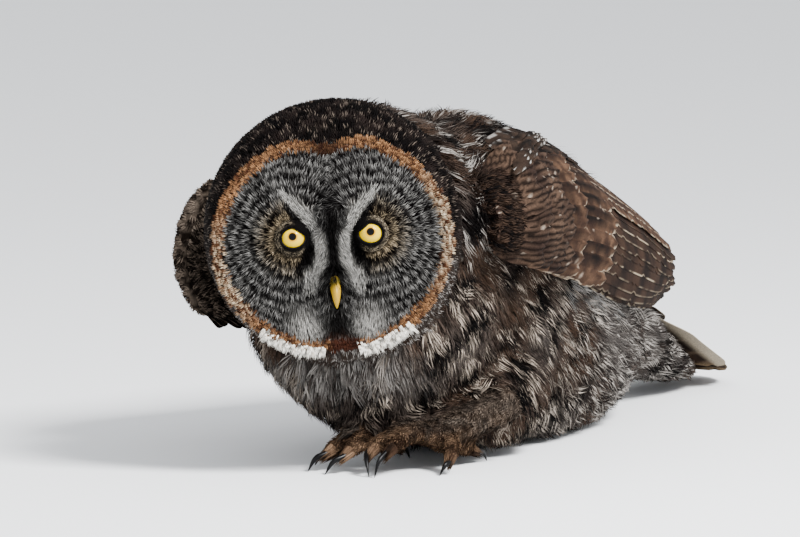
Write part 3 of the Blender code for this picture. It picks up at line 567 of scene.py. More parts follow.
def strand_mesh(rings, colours, uv, count, strands):
    """(points, colours, faces, bake map) of three-sided strands from their rings and tips."""
    points = np.concatenate(rings, axis=2)
    corners = points.shape[2]
    faces = [(0, 1, 2)]
    for row in range(0, corners - 4, 3):
        for j in range(3):
            k = (j + 1) % 3
            faces += [(row + j, row + 3 + j, row + 3 + k), (row + j, row + 3 + k, row + k)]
    last, tip = corners - 4, corners - 1
    faces += [(last, tip, last + 1), (last + 1, tip, last + 2), (last + 2, tip, last)]
    points = points.reshape(-1, 3)
    points[:, 2] = np.maximum(points[:, 2], 0.3)
    shades = np.clip(np.concatenate(colours, axis=2).reshape(-1, 3), 0, 1)
    number = count * strands
    faces = (np.array(faces)[None] + (np.arange(number) * corners)[:, None, None]).reshape(-1, 3)
    rows = (corners - 1) // 3
    patch = [(x, y / rows) for y in range(rows) for x in (-0.5, 0.0, 0.5)] + [(0.0, 1.0)]
    patch = (np.array(patch) - (0, 0.5)) * BAKE_PATCH
    bake = (uv[:, None, None] + patch).repeat(strands, axis=1).reshape(-1, 2)
    return points, shades, faces, bake


def coat(name, roots, lie, length, width, rise, strands, paint, form=SHORT_STRAND, fan=1.0, stray=0.22, thick=1.0):
    """A piece of coat: at each root a lock of thin strands that fan out, overlap and taper to points."""
    count = len(roots[0])
    length = np.broadcast_to(length, count) * rng.uniform(0.8, 1.2, count)
    rise = np.broadcast_to(rise, count) * rng.uniform(0.7, 1.25, count)
    width = np.broadcast_to(width, count) * rng.uniform(0.85, 1.15, count)
    middle, ups, sides = locks(roots, lie, length, rise, stray)
    shape = (count, strands)
    across = np.linspace(-1, 1, strands) if strands > 1 else np.zeros(1)
    across = across + rng.normal(0, 0.16, shape)
    ends = 1 - 0.22 * across**2 - rng.uniform(0, 0.16, shape)
    starts = rng.uniform(0, 0.12, shape)
    lean = rng.normal(0, 0.16, shape)
    bend, phase = rng.normal(0, 0.45, (count, 1)), rng.uniform(0, 6, (count, 1))
    float_up = rng.uniform(-0.25, 0.45, shape) * rise[:, None]
    rings, colours = [], []
    for share, wide in (*form, (1.0, 0.0)):
        along = starts + (ends - starts) * share
        slot_at = np.clip(along * 3, 0, 2.999)
        low = slot_at.astype(int)
        part = (slot_at - low)[..., None]
        row = np.arange(count)[:, None]
        centre = middle[row, low] * (1 - part) + middle[row, low + 1] * part
        up = ups[row, low] * (1 - part) + ups[row, low + 1] * part
        side = sides[row, low] * (1 - part) + sides[row, low + 1] * part
        spread = (0.3 + 0.7 * smooth(0, 0.55, along)) * (1 - 0.35 * along**3) * fan
        aside = (across * spread + lean * along + bend * along * np.sin(along * 3 + phase)) * width[:, None]
        centre = centre + side * aside[..., None] + up * (float_up * along)[..., None]
        colour = np.broadcast_to(paint(roots[0][:, None, :], across, along), centre.shape)
        if wide == 0:
            rings.append(centre[:, :, None])
            colours.append(colour[:, :, None])
            continue
        half = wide * width[:, None] / max(1.6, strands) * thick
        offset = (side * half[..., None], up * (half * 0.4)[..., None])
        rings.append(np.stack([centre - offset[0], centre + offset[1], centre + offset[0]], axis=2))
        colours.append(np.repeat(colour[:, :, None], 3, axis=2))
    points, shades, faces, bake = strand_mesh(rings, colours, roots[2], count, strands)
    print(name, count * strands, "strands", len(faces), "triangles")
    return make_piece(name, points, faces, shades, bake, DOWN)


def mix(low, high, share):
    share = np.clip(share, 0, 1)[..., None]
    return low * (1 - share) + high * share


# Markings.
# Each painter gives the colour at a root for a place across and along its lock: dark shaft streaks and
# blotches, wavy pale bars and pale edges, in the greys and browns of the body.
BLACK, SOOT, DARK = srgb("0d0b0b"), srgb("1c1817"), srgb("2e2623")
BROWN, WARM, TAN = srgb("4d3c31"), srgb("6b4f3c"), srgb("94785f")
STONE, GREY, PALE, WHITE = srgb("615b57"), srgb("8b8682"), srgb("b9b4af"), srgb("e4e0da")


def paint_body(points, across, along):
    """Dark brown and grey-brown breast, flanks and belly with soft pale streaks; greyer towards the rear, with painted
    shade low on the breast near the ground.
    """
    blotch = ripple(points, 15, 1) + 0.7 * ripple(points, 6, 2)
    pale = ripple(points, 8, 3) + 0.8 * ripple(points, 3.4, 4)
    rear = smooth(60, 260, points[..., 1])
    high = smooth(120, 165, points[..., 2])
    bars = np.sin(along * 12 + 3 * ripple(points, 6, 5) + across * 1.6)
    base = mix(BROWN, STONE, 0.3 + 0.4 * ripple(points, 40, 6) + 0.4 * rear)
    colour = mix(base, DARK, 0.55 + 0.9 * blotch - 0.35 * np.abs(across) + 0.6 * high)
    colour = mix(colour, BLACK, smooth(0.25, 1.1, blotch - 0.35 * rear + 0.5 * high) * smooth(0.1, 0.45, along))
    light = smooth(0.4, 1.4, pale + 0.4 * bars + 0.5 * across - 0.1 + 0.3 * rear - 0.3 * high)
    tint = mix(srgb("d6c5b3"), srgb("d3cbc2"), rear + high)
    # Painted shade: the pale streaks fade out low on the breast, near the ground.
    light = light * (1 - 0.85 * smooth(52, 34, points[..., 2]) * smooth(50, 10, points[..., 1]))
    colour = mix(colour, tint, light * 0.85)
    u, v, w = to_face(points)
    bib = np.exp(-((u / 46) ** 4)) * smooth(-98, -86, v) * smooth(-62, -72, v)
    grey = mix(srgb("4a4643"), srgb("c4bfb9"), 0.45 + 0.5 * ripple(points, 3.2, 8) + 0.3 * across)
    colour = mix(colour, grey, 0.7 * bib)
    s = np.linspace(0.4, 0.66, 14)
    under = np.linalg.norm(points[..., None, :] - wing_place(s, 0.0, -6.0, 1), axis=-1).min(axis=-1)
    return mix(colour, srgb("f4f0ea"), 0.85 * smooth(15, 8, under) * smooth(-0.2, 0.5, ripple(points, 8, 9)))


def paint_foot(points, across, along):
    """Short tawny and dark mottling on the toes, and the body's own marks higher up."""
    speckle = 0.7 * ripple(points, 2.4, 15) + 0.6 * ripple(points, 1.4, 17) + 0.9 * (along - 0.5)
    colour = mix(srgb("3a2a20"), srgb("a58468"), 0.35 + 0.3 * ripple(points, 9, 14) + 0.35 * speckle)
    colour = mix(colour, srgb("15100d"), smooth(0.3, 1.1, ripple(points, 5, 16)) * 0.7)
    upper = smooth(16, 34, points[..., 2] + 0.2 * points[..., 1])
    grey = mix(srgb("241e1a"), srgb("8b7f74"), 0.4 + 0.45 * speckle)
    return mix(colour, grey, upper * 0.8)


def paint_head(points, across, along):
    """Near-black crown and nape with fine pale flecks, browner and greyer low on the cheeks."""
    u, v, w = to_face(points)
    flecks = 0.7 * ripple(points, 2.4, 11) + 1.0 * ripple(points, 1.2, 12) + 0.45 * across
    cheek = smooth(25, -55, v)
    colour = mix(BLACK, DARK, 0.25 + 0.5 * ripple(points, 8, 13))
    colour = mix(colour, mix(BROWN, STONE, 0.4 + 0.4 * ripple(points, 4, 10)), cheek * 0.6)
    front = smooth(-52, -18, w) * smooth(40, 64, np.hypot(u, v))
    light = smooth(0.95, 1.55, flecks + 0.5 * cheek + 0.15 * front) * (0.62 - 0.1 * cheek)
    light = light * smooth(0.25 - 0.3 * cheek, 0.75 - 0.3 * cheek, along)
    return mix(colour, mix(srgb("a58a72"), srgb("d5cfc8"), 0.3 + cheek), light)


skin_mesh.shade_smooth()
skin_mesh.materials.append(SKIN)
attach(skin, "root")
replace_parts(skin, "torso", "neck", "head", "thigh_left", "thigh_right", "tail", "wing_left", "wing_right", *FOOT_NODES)


def is_face(points):
    u, v, w = to_face(points)
    return (w > -14) & (disc_share(u, v) < 0.955)


def of_kind(name):
    return lambda points, kind: (kind == kinds.index(name)) & ~is_face(points)


# Face.
# Fine filaments that run outwards from each eye, in broken dark and pale rings; pale brows that curve
# down beside the bill, black beside the eyes and between the brows, white tufts below, and a dark chin.
BROW = (
    (28.5, 31, 2.4),
    (22.5, 23.5, 4.0),
    (15.8, 14.5, 5.2),
    (10.6, 6, 5.8),
    (8.6, -2, 5.8),
    (10, -10, 6.4),
    (13.5, -18, 6.0),
    (17, -25, 3.6),
)
EYE_PATCH = ((28, 22.5, 2.0), (22.5, 16, 3.2), (17.4, 6.5, 3.6), (15.6, -3, 4.4), (18, -10, 4.6), (23, -14, 2.6))


def near_line(u, v, line):
    """1 on a line of places with half widths, falling to 0 outside it; both sides of the face alike."""
    line = np.array(line, float)
    best = np.zeros(u.shape)
    for (u0, v0, w0), (u1, v1, w1) in zip(line[:-1], line[1:]):
        du, dv = u1 - u0, v1 - v0
        share = np.clip(((np.abs(u) - u0) * du + (v - v0) * dv) / (du * du + dv * dv), 0, 1)
        gap = np.hypot(np.abs(u) - u0 - share * du, v - v0 - share * dv)
        best = np.maximum(best, smooth(1.35, 0.65, gap / (w0 + share * (w1 - w0))))
    return best


def paint_face(points, across, along):
    u, v, w = to_face(points)
    away = np.hypot(np.abs(u) - EYE_SIDEWAYS, v - EYE_UP)
    wobble = ripple(points, 14, 21)
    rings = np.sin((away + 3 * along) * 2 * math.pi / 6.8 + 0.9 * wobble)
    speckle = 0.8 * ripple(points, 2.2, 22) + 0.6 * ripple(points, 1.1, 23) + 2.4 * across
    light = 0.06 + 0.2 * rings + 0.22 * speckle + 0.42 * (along - 0.4)
    colour = mix(BLACK, srgb("d2cfca"), light)
    warm = smooth(27, 12, away) * smooth(10, 22, np.abs(u))
    colour = mix(colour, colour * (1.5, 1.2, 0.8), warm)
    forehead = np.exp(-((u / 10) ** 2)) * smooth(2, 14, v) * smooth(52, 30, v)
    colour = mix(colour, BLACK, 0.75 * forehead)
    brow = near_line(u, v, BROW)
    colour = mix(colour, srgb("d9d6cf") * (0.5 + 0.5 * along + 0.16 * speckle)[..., None], brow * 0.9)
    patch = near_line(u, v, EYE_PATCH)
    socket = smooth(9.1, 8.3, away)
    between = smooth(4.4, 1.8, np.abs(u)) * smooth(36, 16, v) * smooth(-60, -46, v)
    beside = np.exp(-((np.abs(u) - 5.5) / 3.0) ** 2 - ((v + 27) / 8) ** 2)
    chin = np.exp(-((u / 9.5) ** 4) - ((v + 51) / 9.5) ** 4)
    colour = mix(colour, BLACK, np.maximum.reduce([patch, socket, 0.97 * between, 0.85 * beside, 0.98 * chin]))
    cheek = np.exp(-(((np.abs(u) - 21) / 8.5) ** 2) - ((v + 50) / 9) ** 2)
    colour = mix(colour, srgb("f0ece4") * (0.6 + 0.45 * along)[..., None], 0.95 * cheek)
    throat = np.exp(-((u / 9) ** 4) - ((v + 66) / 8) ** 4)
    return mix(colour, srgb("4c2b1c"), 0.85 * throat)


def face_lie(points):
    """Outwards from the nearer eye, and down beside and under the bill."""
    u, v, w = to_face(points)
    side = np.where(u < 0, -1.0, 1.0)
    du, dv = u - side * EYE_SIDEWAYS, v - EYE_UP
    away = np.hypot(du, dv) + 1e-6
    du, dv = du / away, dv / away
    inner = smooth(16, 6, np.abs(u)) * smooth(36, 14, v)
    du, dv = du * (1 - inner) + side * 0.45 * inner * smooth(1.5, 7, np.abs(u)), dv * (1 - inner) - inner
    brow = near_line(u, v, BROW) * smooth(4, 10, v)
    du, dv = du * (1 - brow) + side * 0.5 * brow, dv * (1 - brow) + 0.86 * brow
    return du[:, None] * FACE_SIDE + dv[:, None] * FACE_UP


face_roots = spots(1.02, lambda points, kind: is_face(points) & (disc_share(*to_face(points)[:2]) < 0.93))
u, v, w = to_face(face_roots[0])
away = np.hypot(np.abs(u) - EYE_SIDEWAYS, v - EYE_UP)
keep = away > EYE_RADIUS - 0.5
keep &= ~((np.abs(u) < 3.8) & (v < -27.5) & (v > -42))
face_roots = tuple(part[keep] for part in face_roots)
u, v, away = u[keep], v[keep], away[keep]
cheek = np.exp(-(((np.abs(u) - 22) / 10) ** 2) - ((v + 46) / 11) ** 2)
face_length = 3.6 + 3.4 * smooth(10, 26, away) + 4.0 * cheek
over_bill = np.exp(-((u / 6) ** 2)) * smooth(-32, -24, v) * smooth(-6, -15, v)
face_rise = 2.2 + 4.5 * over_bill + 2.0 * cheek
coat("face", face_roots, face_lie(face_roots[0]), face_length, 0.44, face_rise, 1, paint_face, stray=0.17)

# Ruff.
# Short stiff feathers in four rows stand round the disc: tawny with dark bars, cream at mid height, white
# below on both sides of the chin, and dark rust in the notch above the bill.
RUFF_ROWS = ((440, 0.885, 3.2, 5.0), (460, 0.905, 3.4, 5.0), (470, 0.926, 3.2, 5.0), (490, 0.948, 2.4, 4.8))
WHITE_ARCS = ((228, 262), (281, 310))


def ruff(angle, share, forward, length):
    """Middle lines of one row of short feathers that stand out and curl forward round the disc."""
    count = len(angle)
    angle = angle + rng.normal(0, 0.006, count)
    reach = disc_reach(angle) * (share + rng.normal(0, 0.01, count))
    u, v = reach * np.cos(angle), reach * np.sin(angle)
    _, _, triangle, _ = nearest(skin_tree, on_face(u, v, disc_height(u, v) - 1))
    points = on_face(u, v, disc_height(u, v) - 1.5)
    outward = np.cos(angle)[:, None] * FACE_SIDE + np.sin(angle)[:, None] * FACE_UP
    along = np.array((0.0, 0.34, 0.67, 1.0))
    length = length * rng.uniform(0.75, 1.25, count)
    out = np.sin(along * 1.5) * length[:, None]
    front = (np.sin(along * 2.3) * forward) * rng.uniform(0.7, 1.3, (count, 1))
    middle = points[:, None] + out[..., None] * outward[:, None] + front[..., None] * FACE_OUT
    turn = np.broadcast_to((np.cross(FACE_OUT, outward))[:, None], middle.shape)
    ups = unit(np.cross(turn, np.gradient(middle, axis=1)))
    return points, middle, -ups, turn, skin_uv[triangle].mean(axis=1)


def paint_rim(points, across, along):
    """Tawny with dark flecks, cream on both sides at mid height, brown under the chin and dark on top."""
    u, v, w = to_face(points)
    angle = np.degrees(np.arctan2(v, u)) % 360
    grain = 0.7 * ripple(points, 1.9, 31) + 0.7 * ripple(points, 1.0, 32) + 0.4 * across
    colour = mix(srgb("4c2f20"), srgb("bb8a60"), 0.38 + 0.4 * grain + 0.6 * (along - 0.5))
    sides = np.maximum(smooth(38, 10, np.abs((angle + 180) % 360 - 180 - 2)), 0.8 * smooth(34, 12, np.abs(angle - 192)))
    colour = mix(colour, srgb("e6d3b4"), sides * (0.3 + 0.5 * grain))
    chin = smooth(263, 267, angle) * smooth(284, 280, angle)
    colour = mix(colour, srgb("40241a"), chin)
    notch = smooth(17, 3, np.abs(angle - 90))
    colour = mix(colour, srgb("2b1a13"), notch * 0.85)
    return mix(colour, BLACK, smooth(0.3, 0.9, ripple(points, 1.7, 33)) * smooth(0.2, 0.8, along) * 0.85)


def paint_white_fringe(points, across, along):
    """White with a few dark gaps near the roots."""
    colour = mix(srgb("b39b83"), srgb("fffaee"), 0.3 + 1.6 * along + 0.3 * ripple(points, 2, 34))
    return mix(colour, SOOT, smooth(0.4, 0.9, ripple(points, 1.6, 35)) * smooth(1.0, 0.5, along) * 0.85)


def strands_along(name, row, width, strands, paint, material=DOWN):
    """Locks of short strands along given middle lines."""
    places, middle, ups, sides, uv = row
    count = len(middle)
    number = np.arange(count)[:, None]
    across = np.linspace(-1, 1, strands) + rng.normal(0, 0.2, (count, strands))
    ends = 1 - rng.uniform(0, 0.2, (count, strands))
    rings, colours = [], []
    for share, wide in (*SHORT_STRAND, (1.0, 0.0)):
        along = ends * share
        at = np.clip(along * 3, 0, 2.999)
        low = at.astype(int)
        part = (at - low)[..., None]
        grids = (grid[number, low] * (1 - part) + grid[number, low + 1] * part for grid in (middle, ups, sides))
        centre, up, side = grids
        centre = centre + side * (across * width * (0.5 + 0.5 * along))[..., None]
        colour = paint(places[:, None, :], across, along)
        if wide == 0:
            rings.append(centre[:, :, None])
            colours.append(colour[:, :, None])
            continue
        half = wide * width / strands * 1.2
        rings.append(np.stack([centre - side * half, centre + up * half * 0.5, centre + side * half], axis=2))
        colours.append(np.repeat(colour[:, :, None], 3, axis=2))
    points, shades, faces, bake = strand_mesh(rings, colours, uv, count, strands)
    print(name, len(faces), "triangles")
    return make_piece(name, points, faces, shades, bake, material)


ruff_rows = []
for count, share, forward, length in RUFF_ROWS:
    ruff_rows.append(ruff(np.linspace(0, 2 * math.pi, count, endpoint=False), share, forward, length))
ruff_parts = [np.concatenate([row[i] for row in ruff_rows]) for i in range(5)]
strands_along("ruff", ruff_parts, 1.3, 3, paint_rim)
white_angles = np.radians(np.concatenate([np.linspace(*arc, 80) for arc in WHITE_ARCS]))
white_rows = [ruff(white_angles, share, 4.0, length) for share, length in ((0.925, 6.0), (0.945, 6.8), (0.965, 7.2))]
white_parts = [np.concatenate([row[i] for row in white_rows]) for i in range(5)]
WHITE_DOWN = plumage_material("white_feathers", 0.15, 0.9, 0.03, tone=0.8)
strands_along("chin_fringe", white_parts, 0.72, 3, paint_white_fringe, WHITE_DOWN)

# Head, neck and body.
# Soft locks, small on the head and longer towards the rear.
def thin_under(roots):
    """Drops most roots on the underside where the bird lies on the ground."""
    hidden = (roots[1][:, 2] < -0.55) & (roots[0][:, 2] < 14)
    keep = ~hidden | (rng.random(len(hidden)) < 0.3)
    return tuple(part[keep] for part in roots)


HEAD_PARTS = {
    "crown_coat": lambda points: to_face(points)[1] > 8,
    "cheek_coat": lambda points: to_face(points)[1] <= 8,
}
for name, part in HEAD_PARTS.items():
    roots = spots(2.3, lambda points, kind: of_kind("head")(points, kind) & part(points))
    coat(name, roots, head_lie(roots[0]), 7.0, 1.7, 1.7, 3, paint_head, stray=0.12, thick=0.8)

BODY_PARTS = {
    "breast_coat": lambda points: points[:, 1] < 50,
    "left_flank_coat": lambda points: (points[:, 1] >= 50) & (points[:, 1] < 170) & (points[:, 0] > 0),
    "right_flank_coat": lambda points: (points[:, 1] >= 50) & (points[:, 1] < 170) & (points[:, 0] <= 0),
    "left_hind_coat": lambda points: (points[:, 1] >= 170) & (points[:, 0] > 0),
    "right_hind_coat": lambda points: (points[:, 1] >= 170) & (points[:, 0] <= 0),
}
for name, part in BODY_PARTS.items():
    spacing = 4.9 if "hind" in name else 4.5 if "right" in name else 4.2
    roots = thin_under(spots(spacing, lambda points, kind: of_kind("body")(points, kind) & part(points)))
    length = 17 + 11 * smooth(40, 250, roots[0][:, 1])
    coat(name, roots, body_lie(roots[0]), length, 3.8, 5.6, 6, paint_body, thick=0.8)

def scapular_line(points):
    """How far each place is from the upper edge of the nearer wing."""
    s = np.linspace(0.03, 0.7, 30)
    lines = np.concatenate([wing_place(s, 0.97, 0.0, side) for side in (1, -1)])
    return np.linalg.norm(points[:, None] - lines, axis=-1).min(axis=1)


def paint_scapular_coat(points, across, along):
    """Black-brown with curved whitish streaks."""
    white = smooth(0.5, 1.1, ripple(points, 7, 71) + 0.5 * ripple(points, 3, 72) + 0.5 * across)
    colour = mix(BLACK, BROWN, 0.35 + 0.5 * ripple(points, 10, 73))
    return mix(colour, srgb("cfc8c0"), 0.75 * white * smooth(0.15, 0.5, along))


scapular_roots = spots(4.0, lambda points, kind: of_kind("body")(points, kind) & (scapular_line(points) < 30))
scapular_rise = 9 * smooth(32, 14, scapular_line(scapular_roots[0])) + 4
scapular_length = 17 + 9 * smooth(30, 120, scapular_roots[0][:, 1])
outwards = np.sign(scapular_roots[0][:, 0] - 5)
scapular_lie = np.stack([0.4 * outwards, np.ones(len(outwards)), np.full(len(outwards), -0.1)], axis=-1)
coat(
    "scapular_coat", scapular_roots, scapular_lie, scapular_length, 4.2, scapular_rise, 6,
    paint_scapular_coat, thick=0.85,
)



def under_tail(points):
    """How far places lie below the middle feathers of the tail."""
    return tail_place(points[:, 1], points[:, 0], 0.0)[:, 2] - points[:, 2]


tail_roots = thin_under(spots(4.2, of_kind("tail")))
below = under_tail(tail_roots[0])
keep = (below > 13) | (tail_roots[0][:, 1] < 385)
tail_roots, below = tuple(part[keep] for part in tail_roots), below[keep]
rump_length = np.where(tail_roots[0][:, 1] < 385, 20, 12 + 10 * smooth(14, 34, below))
coat("rump_coat", tail_roots, body_lie(tail_roots[0]), rump_length, 4.0, 3.0, 6, paint_body, thick=0.85)
foot_roots = spots(1.9, of_kind("feet"))
coat("foot_coat", foot_roots, foot_lie(foot_roots[0]), 6.0, 1.1, 1.8, 2, paint_foot, thick=0.8)

# Wings and tail.
# Each feather is one closed vane with a shaft, bent with the folded wing: primaries and secondaries
# below, then tertials, three kinds of coverts in overlapping rows, and scapulars over the upper edge.
ACROSS = np.array((-1.0, -0.95, -0.86, -0.45, -0.06, 0.06, 0.45, 0.86, 0.95, 1.0))
VANE_THICKNESS = 0.45
VANE = plumage_material("smooth_vanes", 0.3, 0.8, 0.03, tone=0.36)


def vane_width(share, point):
    """Half width along a feather as a share of the greatest."""
    return np.minimum(0.45 + 1.5 * share, 1.0) * np.sqrt(np.clip(1 - np.clip((share - point) / (1.005 - point), 0, 1) ** 2.2, 0, 1))


def vane(place, length, half_width, heights, paint, point=0.7, camber=0.9, step=4.2, settle=0.35, ragged=0.16):
    """(points, colours, faces) of one feather.

    place(share, across in millimetres, height) gives points; heights are those of the root and the tip.
    """
    count = max(8, int(length / step))
    share = np.linspace(0, 1, count) ** 0.9
    notch = 1 - ragged * (rng.random((count, 2)) < 0.13) * smooth(0.25, 0.5, share)[:, None]
    wide = (half_width * vane_width(share, point))[:, None]
    wide = np.maximum(wide, 0.15) * np.where(ACROSS < 0, notch[:, :1], notch[:, 1:])
    offset = ACROSS * wide
    height = heights[0] + (heights[1] - heights[0]) * smooth(0, settle, share)
    arch = camber * (1 - ACROSS**2) * smooth(0, 0.2, share)[:, None] + 0.35 * (np.abs(ACROSS) < 0.1)
    shares = np.broadcast_to(share[:, None], offset.shape)
    top = place(shares, offset, height[:, None] + arch)
    low = place(shares, offset, height[:, None] + arch - VANE_THICKNESS)
    shades = paint(ACROSS, shares, length, top)
    sides = len(ACROSS)
    rings = np.concatenate([top, low[:, ::-1]], axis=1)
    # The underside of each vane is painted 0.8 as dark as its top: painted shade.
    colours = np.concatenate([shades, shades[:, ::-1] * 0.8], axis=1)
    total = 2 * sides
    points = np.vstack([rings.reshape(-1, 3), rings[0].mean(0), rings[-1].mean(0)])
    colours = np.vstack([colours.reshape(-1, 3), colours[0].mean(0), colours[-1].mean(0)])
    return points, colours, ring_faces(count, total)


def plumes(name, vanes):
    """One piece from many vanes; each has its own cell of the bake map."""
    cells = math.ceil(math.sqrt(len(vanes)))
    points, colours, faces, bake, count = [], [], [], [], 0
    for i, (some_points, some_colours, some_faces) in enumerate(vanes):
        total = 2 * len(ACROSS)
        rows = (len(some_points) - 2) // total
        x = np.concatenate([np.linspace(0.05, 0.47, total // 2), np.linspace(0.53, 0.95, total // 2)])
        y = np.linspace(0.05, 0.95, rows)
        grid = np.stack(np.broadcast_arrays(x[None, :], y[:, None]), -1).reshape(-1, 2)
        grid = np.vstack([grid, (0.5, 0.03), (0.5, 0.97)])
        bake.append((grid + (i % cells, i // cells)) / cells)
        points.append(some_points)
        colours.append(some_colours)
        faces.append(some_faces + count)
        count += len(some_points)
    faces = np.vstack(faces)
    print(name, len(faces), "triangles")
    return make_piece(name, np.vstack(points), faces, np.clip(np.vstack(colours), 0, 1), np.vstack(bake), VANE)


def wing_vane(side, root, tip, half_width, heights, paint, **form):
    """One feather of a wing; root and tip are how far along and across the wing."""
    (s0, t0), (s1, t1) = root, tip
    shares = np.linspace(0, 1, 9)
    s, t = s0 + (s1 - s0) * shares, t0 + (t1 - t0) * shares
    reach = np.linalg.norm(wing_point(s, t + 0.05, side) - wing_point(s, t - 0.05, side), axis=-1) / 0.1
    path = wing_point(s, t, side)
    length = np.linalg.norm(np.diff(path, axis=0), axis=1).sum()

    def place(share, across, height):
        here = t0 + (t1 - t0) * share + across / np.interp(share, shares, reach)
        return wing_place(s0 + (s1 - s0) * share, here, height, side)

    return vane(place, length, half_width, heights, paint, **form)


def between(low, high, share):
    return low + (high - low) * share


def paint_flight(across, share, length, places):
    """Dark brown with a few paler bars, thin pale edges and a dark shaft."""
    seed = rng.uniform(0, 6)
    bars = np.sin(share * length / 24 * 2 * math.pi + seed + 0.6 * ripple(places, 8, 41) + 0.8 * across)
    colour = mix(srgb("241a16"), srgb("473429"), 0.5 + 0.5 * ripple(places, 12, 42))
    colour = mix(colour, srgb("6d5645"), smooth(0.5, 0.95, bars) * 0.28 * (0.35 + 0.65 * smooth(0, 0.4, across)))
    edge = smooth(0.88, 0.94, np.abs(across) + 0.1 * smooth(0.95, 1.0, share)) * smooth(0.2, 0.45, share)
    edge = edge * rng.choice((0.08, 0.3, 0.85)) * smooth(-0.6, 0.5, ripple(places, 9, 58))
    colour = mix(colour, srgb("e8d3b4"), edge)
    return mix(colour, srgb("1a1310"), (np.abs(across) < 0.1) * 0.7)


def paint_covert(across, share, length, places):
    """Warm brown with a black-brown centre, wavy dark marks, pale spots and a pale broken edge."""
    seed = rng.uniform(0, 6)
    dark = rng.random()
    waves = np.sin(across * 6 + seed + 1.5 * ripple(places, 9, 43) + share * 3)
    colour = mix(srgb("4a352a"), srgb("7a5c47"), 0.5 + 0.5 * ripple(places, 9, 44))
    reach = 0.8 + 0.26 * dark
    centre = smooth(1.0, 0.1, np.abs(across)) * smooth(reach, reach - 0.22, share)
    colour = mix(colour, srgb("120c0a"), (0.3 + 0.68 * smooth(0.2, 0.7, dark)) * centre)
    colour = mix(colour, srgb("33221a"), smooth(0.1, 0.8, waves) * 0.7)
    colour = mix(colour, srgb("d9c4b0"), smooth(1.5, 1.8, ripple(places, 2.0, 45)) * 0.7)
    edge = smooth(0.88, 0.94, np.abs(across) + 0.2 * smooth(0.92, 1.0, share)) * smooth(0.3, 0.6, share)
    return mix(colour, srgb("e0cbb0"), edge * smooth(-0.6, 0.2, ripple(places, 5, 46)) * 0.9)


def paint_small_covert(across, share, length, places):
    """Warm brown with fine dark wavy lines that run along the wing, and white specks; the far wing's coverts are
    painted paler and greyer, as painted light.
    """
    # Painted light: the far wing is made paler and greyer than the near one.
    far = smooth(-20, -70, places[..., 0])
    colour = mix(srgb("40312a"), srgb("6a5445"), 0.5 + 0.5 * ripple(places, 14, 47))
    colour = mix(colour, srgb("a39282"), 0.7 * far)
    lines = np.sin(places[..., 2] * 2 * math.pi / 3.9 + 2.4 * ripple(places, 20, 48) + 0.7 * ripple(places, 6, 53))
    colour = mix(colour, srgb("140d0a"), smooth(-0.2, 0.5, lines) * 0.93)
    return mix(colour, srgb("d9c4b0"), smooth(1.45, 1.75, ripple(places, 1.6, 49)) * 0.7)


def paint_scapular(across, share, length, places, amount):
    """Black-brown, with a long broken white streak along one web."""
    seed = rng.uniform(0, 6)
    breaks = smooth(-0.6, 0.1, np.sin(share * length / 7 * 2 * math.pi + seed + ripple(places, 5, 54)))
    colour = mix(srgb("15110f"), srgb("44362d"), 0.5 + 0.5 * ripple(places, 6, 50))
    streak = smooth(0.2, 0.4, across) * smooth(1.0, 0.9, across) * breaks * amount
    return mix(colour, srgb("f4efe8"), streak * smooth(-0.3, 0.4, ripple(places, 12, 56)))


def flight_plumes(side):
    """Primaries, secondaries and tertials."""
    made = []
    flat = dict(camber=0.3)
    tips = (0.93, 0.03), (1.0, 0.4)
    tier(made, side, 8, 9.5, 0.28, (0.1, 0.24), tips, (-9.4, -5.0), paint_flight, point=0.62, **flat)
    tips = (0.86, 0.07), (0.975, 0.8)
    tier(made, side, 11, 10.5, 0.2, (0.1, 0.8), tips, (-4.4, 3.2), paint_flight, point=0.78, **flat)
    tips = (0.93, 0.72), (0.84, 0.95)
    tier(made, side, 4, 12.0, 0.2, (0.7, 0.88), tips, (3.6, 5.4), paint_covert, point=0.72, **flat)
    return made


def covert_plumes(side):
    """Greater, median and lesser coverts, and the scapulars over the wing's upper edge."""
    made = []
    form = dict(rooted=True, settle=0.4)
    tier(made, side, 11, 9.5, 0.11, (0.08, 0.9), ((0.52, 0.08), (0.6, 0.95)), (-0.4, 5.2), paint_covert, **form)
    tier(made, side, 12, 8.0, 0.06, (0.08, 0.92), ((0.34, 0.08), (0.42, 0.96)), (1.6, 7.0), paint_covert, **form)
    for s0 in (0.135, 0.105, 0.075, 0.045, 0.02):
        lift = 10 * (0.12 - s0)
        small_tips = (s0 + 0.13, 0.05), (s0 + 0.14, 0.98)
        heights = 3.0 + lift, 8.8 + lift
        form = dict(point=0.55, camber=0.5, settle=0.9, rooted=True, step=3.2)
        tier(made, side, 17, 5.4, s0, (0.03, 0.97), small_tips, heights, paint_small_covert, **form)
    for t in (1.1, 1.05, 1.0, 0.95) if side > 0 else (0.97, 0.92):
        first = 0.12 if side < 0 else 0.08
        amount = 0.5 if t > 1 else 1.0
        for s in np.arange(first, 0.42, 0.05) + rng.uniform(0, 0.03):
            tip = s + 0.1, t - 0.05 + rng.normal(0, 0.015)
            start = 4.0 + 3.0 * t - 6 * s
            form = dict(point=0.5, camber=0.6, settle=0.7, step=3.2)
            heights = start, start + 2.6
            made.append(wing_vane(side, (s, t), tip, 4.6, heights, lambda *where: paint_scapular(*where, amount), **form))
    for s in np.arange(0.07, 0.3, 0.011) if side > 0 else ():
        t = 0.8 + 0.66 * s + rng.normal(0, 0.025)
        streaked = lambda across, *where: paint_scapular(-across, *where, 1.0)
        made.append(wing_vane(side, (s, t), (s + 0.085, t + 0.03), 2.6, (8.0, 11.4), streaked, **form))
    return made


